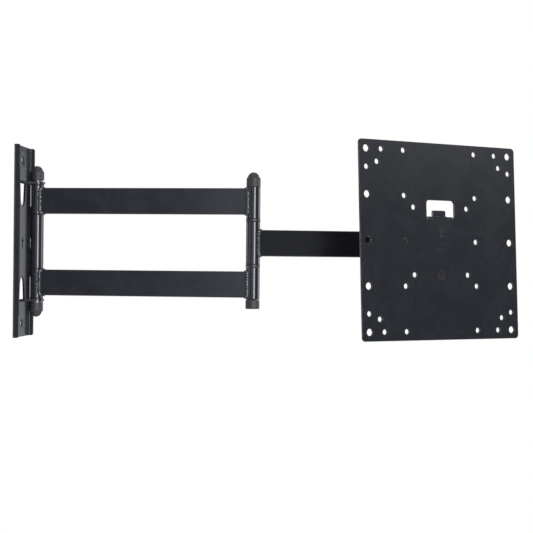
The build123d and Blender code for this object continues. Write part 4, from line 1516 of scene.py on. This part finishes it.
@dataclass(frozen=True)
class ScreenSide:
    """The head bracket and the plate that the screen bolts to.

    Args:
        sheet_edge: the radius that the bracket's sheared edges are broken to.
        plate_edge: the same for the plate.
        nut_edge: the same for the weld nut.
        lock_z: the lock screw's height on the plate.
        lock_end: the depth of its end behind the plate's face.
        lock_r: its radius.
        lock_thread: where its thread starts and ends, from its end.
    """

    sheet_edge: float = 0.25
    plate_edge: float = 0.15
    nut_edge: float = 0.2
    lock_z: float = -37.5
    lock_end: float = -16.1
    lock_r: float = 3.0
    lock_thread: tuple[float, float] = (0.5, 5.0)

    def build(self, bench: Bench) -> None:
        """Makes the pieces that tilt with the screen."""
        shop, face = bench.shop, bench.links.screen
        shop.copies("screen", Slot.COAT, self.sheet_edge, ("head_bracket",))
        shop.copies("screen", Slot.PLATE, self.plate_edge, ("screen_plate",))
        shop.copies("screen", Slot.BRIGHT_STEEL, self.nut_edge, ("weld_nut",))
        link = Link(face.origin + face.matrix.to_3x3() @ Vector((0, 0, self.lock_z)), face.along, face.across)
        low, high = (self.lock_end + reach for reach in self.lock_thread)
        bench.threaded("lock_screw", "screen", link, Thread(low, high, self.lock_r, Lay.FORWARD, 0.0))


# ------------------------------------------------------------------ studio
@dataclass(frozen=True)
class Softbox:
    """A soft panel light aimed at the mount.

    Args:
        name: the light's name.
        bearing: degrees round to the right from the room side.
        height: degrees above the level.
        width: its width.
        tall: its height.
        glow: its brightness.
        tint: its colour.
        distance: how far it stands off.
        misses: the pieces that it is flagged off.
    """

    name: str
    bearing: float
    height: float
    width: float
    tall: float
    glow: float
    tint: Colour = (1.0, 1.0, 1.0)
    distance: float = 2.0
    misses: tuple[str, ...] = ()
    POWER: ClassVar[float] = 4.0

    def hang(self, target: Vector) -> None:
        """Puts the light in the scene, aimed at target."""
        turn, lift = math.radians(self.bearing), math.radians(self.height)
        away = Vector((math.sin(turn) * math.cos(lift), -math.cos(turn) * math.cos(lift), math.sin(lift)))
        light = bpy.data.lights.new(self.name, "AREA")
        light.shape = "RECTANGLE"
        light.size, light.size_y = self.width, self.tall
        light.energy = self.glow * self.POWER * self.width * self.tall
        light.color = self.tint
        lamp = bpy.data.objects.new(self.name, light)
        lamp.location = target + away * self.distance
        lamp.rotation_euler = away.to_track_quat("Z", "Y").to_euler()
        lamp.visible_camera = False
        bpy.context.scene.collection.objects.link(lamp)
        if self.misses:
            flagged = bpy.data.collections.new(f"{self.name}_flagged")
            for name in self.misses:
                flagged.objects.link(bpy.data.objects[name])
            for item in flagged.collection_objects:
                item.light_linking.link_state = "EXCLUDE"
            lamp.light_linking.receiver_collection = flagged


@dataclass(frozen=True)
class Viewpoint:
    """Where the camera stands and how it is turned.

    Args:
        place: its position, in millimetres.
        yaw: degrees round to the left from straight along Y.
        pitch: degrees up.
        roll: degrees clockwise.
        lens: its focal length on a 36 mm sensor.
    """

    place: tuple[float, float, float] = (409.826, -1576.95, -28.882)
    yaw: float = 4.406
    pitch: float = 0.083
    roll: float = 0.546
    lens: float = 92.76

    def stand(self) -> None:
        """Makes the camera and gives it to the scene."""
        yaw, pitch, roll = (math.radians(angle) for angle in (self.yaw, self.pitch, self.roll))
        ahead = Vector((-math.sin(yaw) * math.cos(pitch), math.cos(yaw) * math.cos(pitch), math.sin(pitch)))
        right = Vector((math.cos(yaw), math.sin(yaw), 0))
        up = right.cross(ahead)
        right, up = (
            right * math.cos(roll) + up * math.sin(roll),
            up * math.cos(roll) - right * math.sin(roll),
        )
        camera = bpy.data.cameras.new("camera")
        camera.sensor_width = 36.0
        camera.lens = self.lens
        camera.clip_start, camera.clip_end = 0.05, 50.0
        stand = bpy.data.objects.new("camera", camera)
        turn = Matrix((right, up, -ahead)).transposed().to_4x4()
        stand.matrix_world = Matrix.Translation(Vector(self.place) * MM) @ turn
        bpy.context.scene.collection.objects.link(stand)
        bpy.context.scene.camera = stand


@dataclass(frozen=True)
class Studio:
    """A white cove with soft panels.

    Args:
        boxes: the panel lights.
        surround: how bright the room is to the mount.
        floor_z: the floor's height.
        floor_r: its radius.
    """

    boxes: tuple[Softbox, ...] = (
        Softbox("strip", 30.0, 2.0, 0.75, 1.5, 9.5, (0.92, 0.95, 1.0), misses=("forearm_tube_drawn",)),
        Softbox("fill", -2.0, 6.0, 0.95, 1.3, 0.6, (0.94, 0.96, 1.0)),
        Softbox("left", -58.0, 4.0, 1.1, 1.4, 0.8, (1.0, 0.98, 0.96)),
        Softbox("edge", -109.0, 6.0, 0.8, 1.3, 2.3, (0.96, 0.98, 1.0)),
        Softbox("bounce", 25.0, 4.0, 0.55, 1.0, 0.16, (0.96, 0.98, 1.0)),
        Softbox("right", 86.0, 19.0, 1.1, 0.4, 1.5, (0.96, 0.97, 1.0)),
        Softbox("rim", 118.0, 8.0, 1.2, 1.4, 2.8, (0.92, 0.95, 1.0)),
        Softbox("sweep", 166.0, -8.0, 1.0, 1.1, 0.32, (0.95, 0.96, 1.0)),
        Softbox("overhead", 10.0, 82.0, 1.8, 1.4, 1.1, distance=1.7),
    )
    surround: Colour = (0.18, 0.19, 0.212)
    floor_z: float = -1.1
    floor_r: float = 2.2

    def build(self, target: Vector) -> None:
        """Makes the room, the lights and the floor.

        Args:
            target: the point that the lights are aimed at.
        """
        bpy.context.scene.view_settings.view_transform = "Standard"
        self._room()
        for box in self.boxes:
            box.hang(target)
        bm = turned([(0.0, self.floor_z - 0.02), (self.floor_r, self.floor_z - 0.02),
                     (self.floor_r, self.floor_z), (0.0, self.floor_z)], loop=False)
        mesh = bpy.data.meshes.new("floor")
        bm.to_mesh(mesh)
        bm.free()
        mesh.materials.append(self._floor_finish())
        floor = bpy.data.objects.new("floor", mesh)
        mesh.transform(Matrix.Translation((target.x, target.y, 0)))
        bpy.context.scene.collection.objects.link(floor)
        floor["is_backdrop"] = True

    def _room(self) -> None:
        """Gives the scene a room that is white to look at and dimmer to the mount."""
        world = bpy.data.worlds.new("room")
        world.use_nodes = True
        world.node_tree.nodes.clear()
        graph = Graph(world.node_tree)
        seen = graph.add("ShaderNodeLightPath").outputs["Is Camera Ray"]
        tone = graph.blend(seen, rgba(self.surround), (1, 1, 1, 1))
        light = graph.add("ShaderNodeBackground", {"Color": tone, "Strength": 1.0}).outputs[0]
        graph.add("ShaderNodeOutputWorld", {"Surface": light})
        bpy.context.scene.world = world

    @staticmethod
    def _floor_finish() -> bpy.types.Material:
        """Matt white paper with the faintest mottling."""
        material, graph, shader = new_material("paper")
        mottle = graph.noise(graph.place(), 3.0, 3.0)
        tone = graph.blend(mottle, (0.86, 0.86, 0.86, 1), (0.9, 0.9, 0.9, 1))
        graph.tree.links.new(tone, shader.inputs["Base Color"])
        shader.inputs["Roughness"].default_value = 0.8
        return material


# ------------------------------------------------------------------ making
def plain(box: tuple[Vector, Vector]) -> list[list[float]]:
    """A box's two corners as plain lists."""
    return [[float(value) for value in corner] for corner in box]


def main() -> None:
    """Makes every sub-assembly, then the studio."""
    logging.basicConfig(level=logging.INFO, format="%(name)s: %(message)s", stream=sys.stdout)
    packed_box = plain(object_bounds())
    links = Links(frame)
    Viewpoint().stand()
    shop = Shop(Finishes(Effects()))
    bench = Bench(shop, Trees(), links)
    builders: tuple[Callable[[Bench], None], ...] = (
        WallSide().build,
        UpperArm().build,
        Forearm().build,
        Head().build,
        ScreenSide().build,
    )
    for build in builders:
        build(bench)
    low, high = (Vector(corner) for corner in packed_box)
    Studio().build((low + high) / 2)


if __name__ == "__main__":
    main()
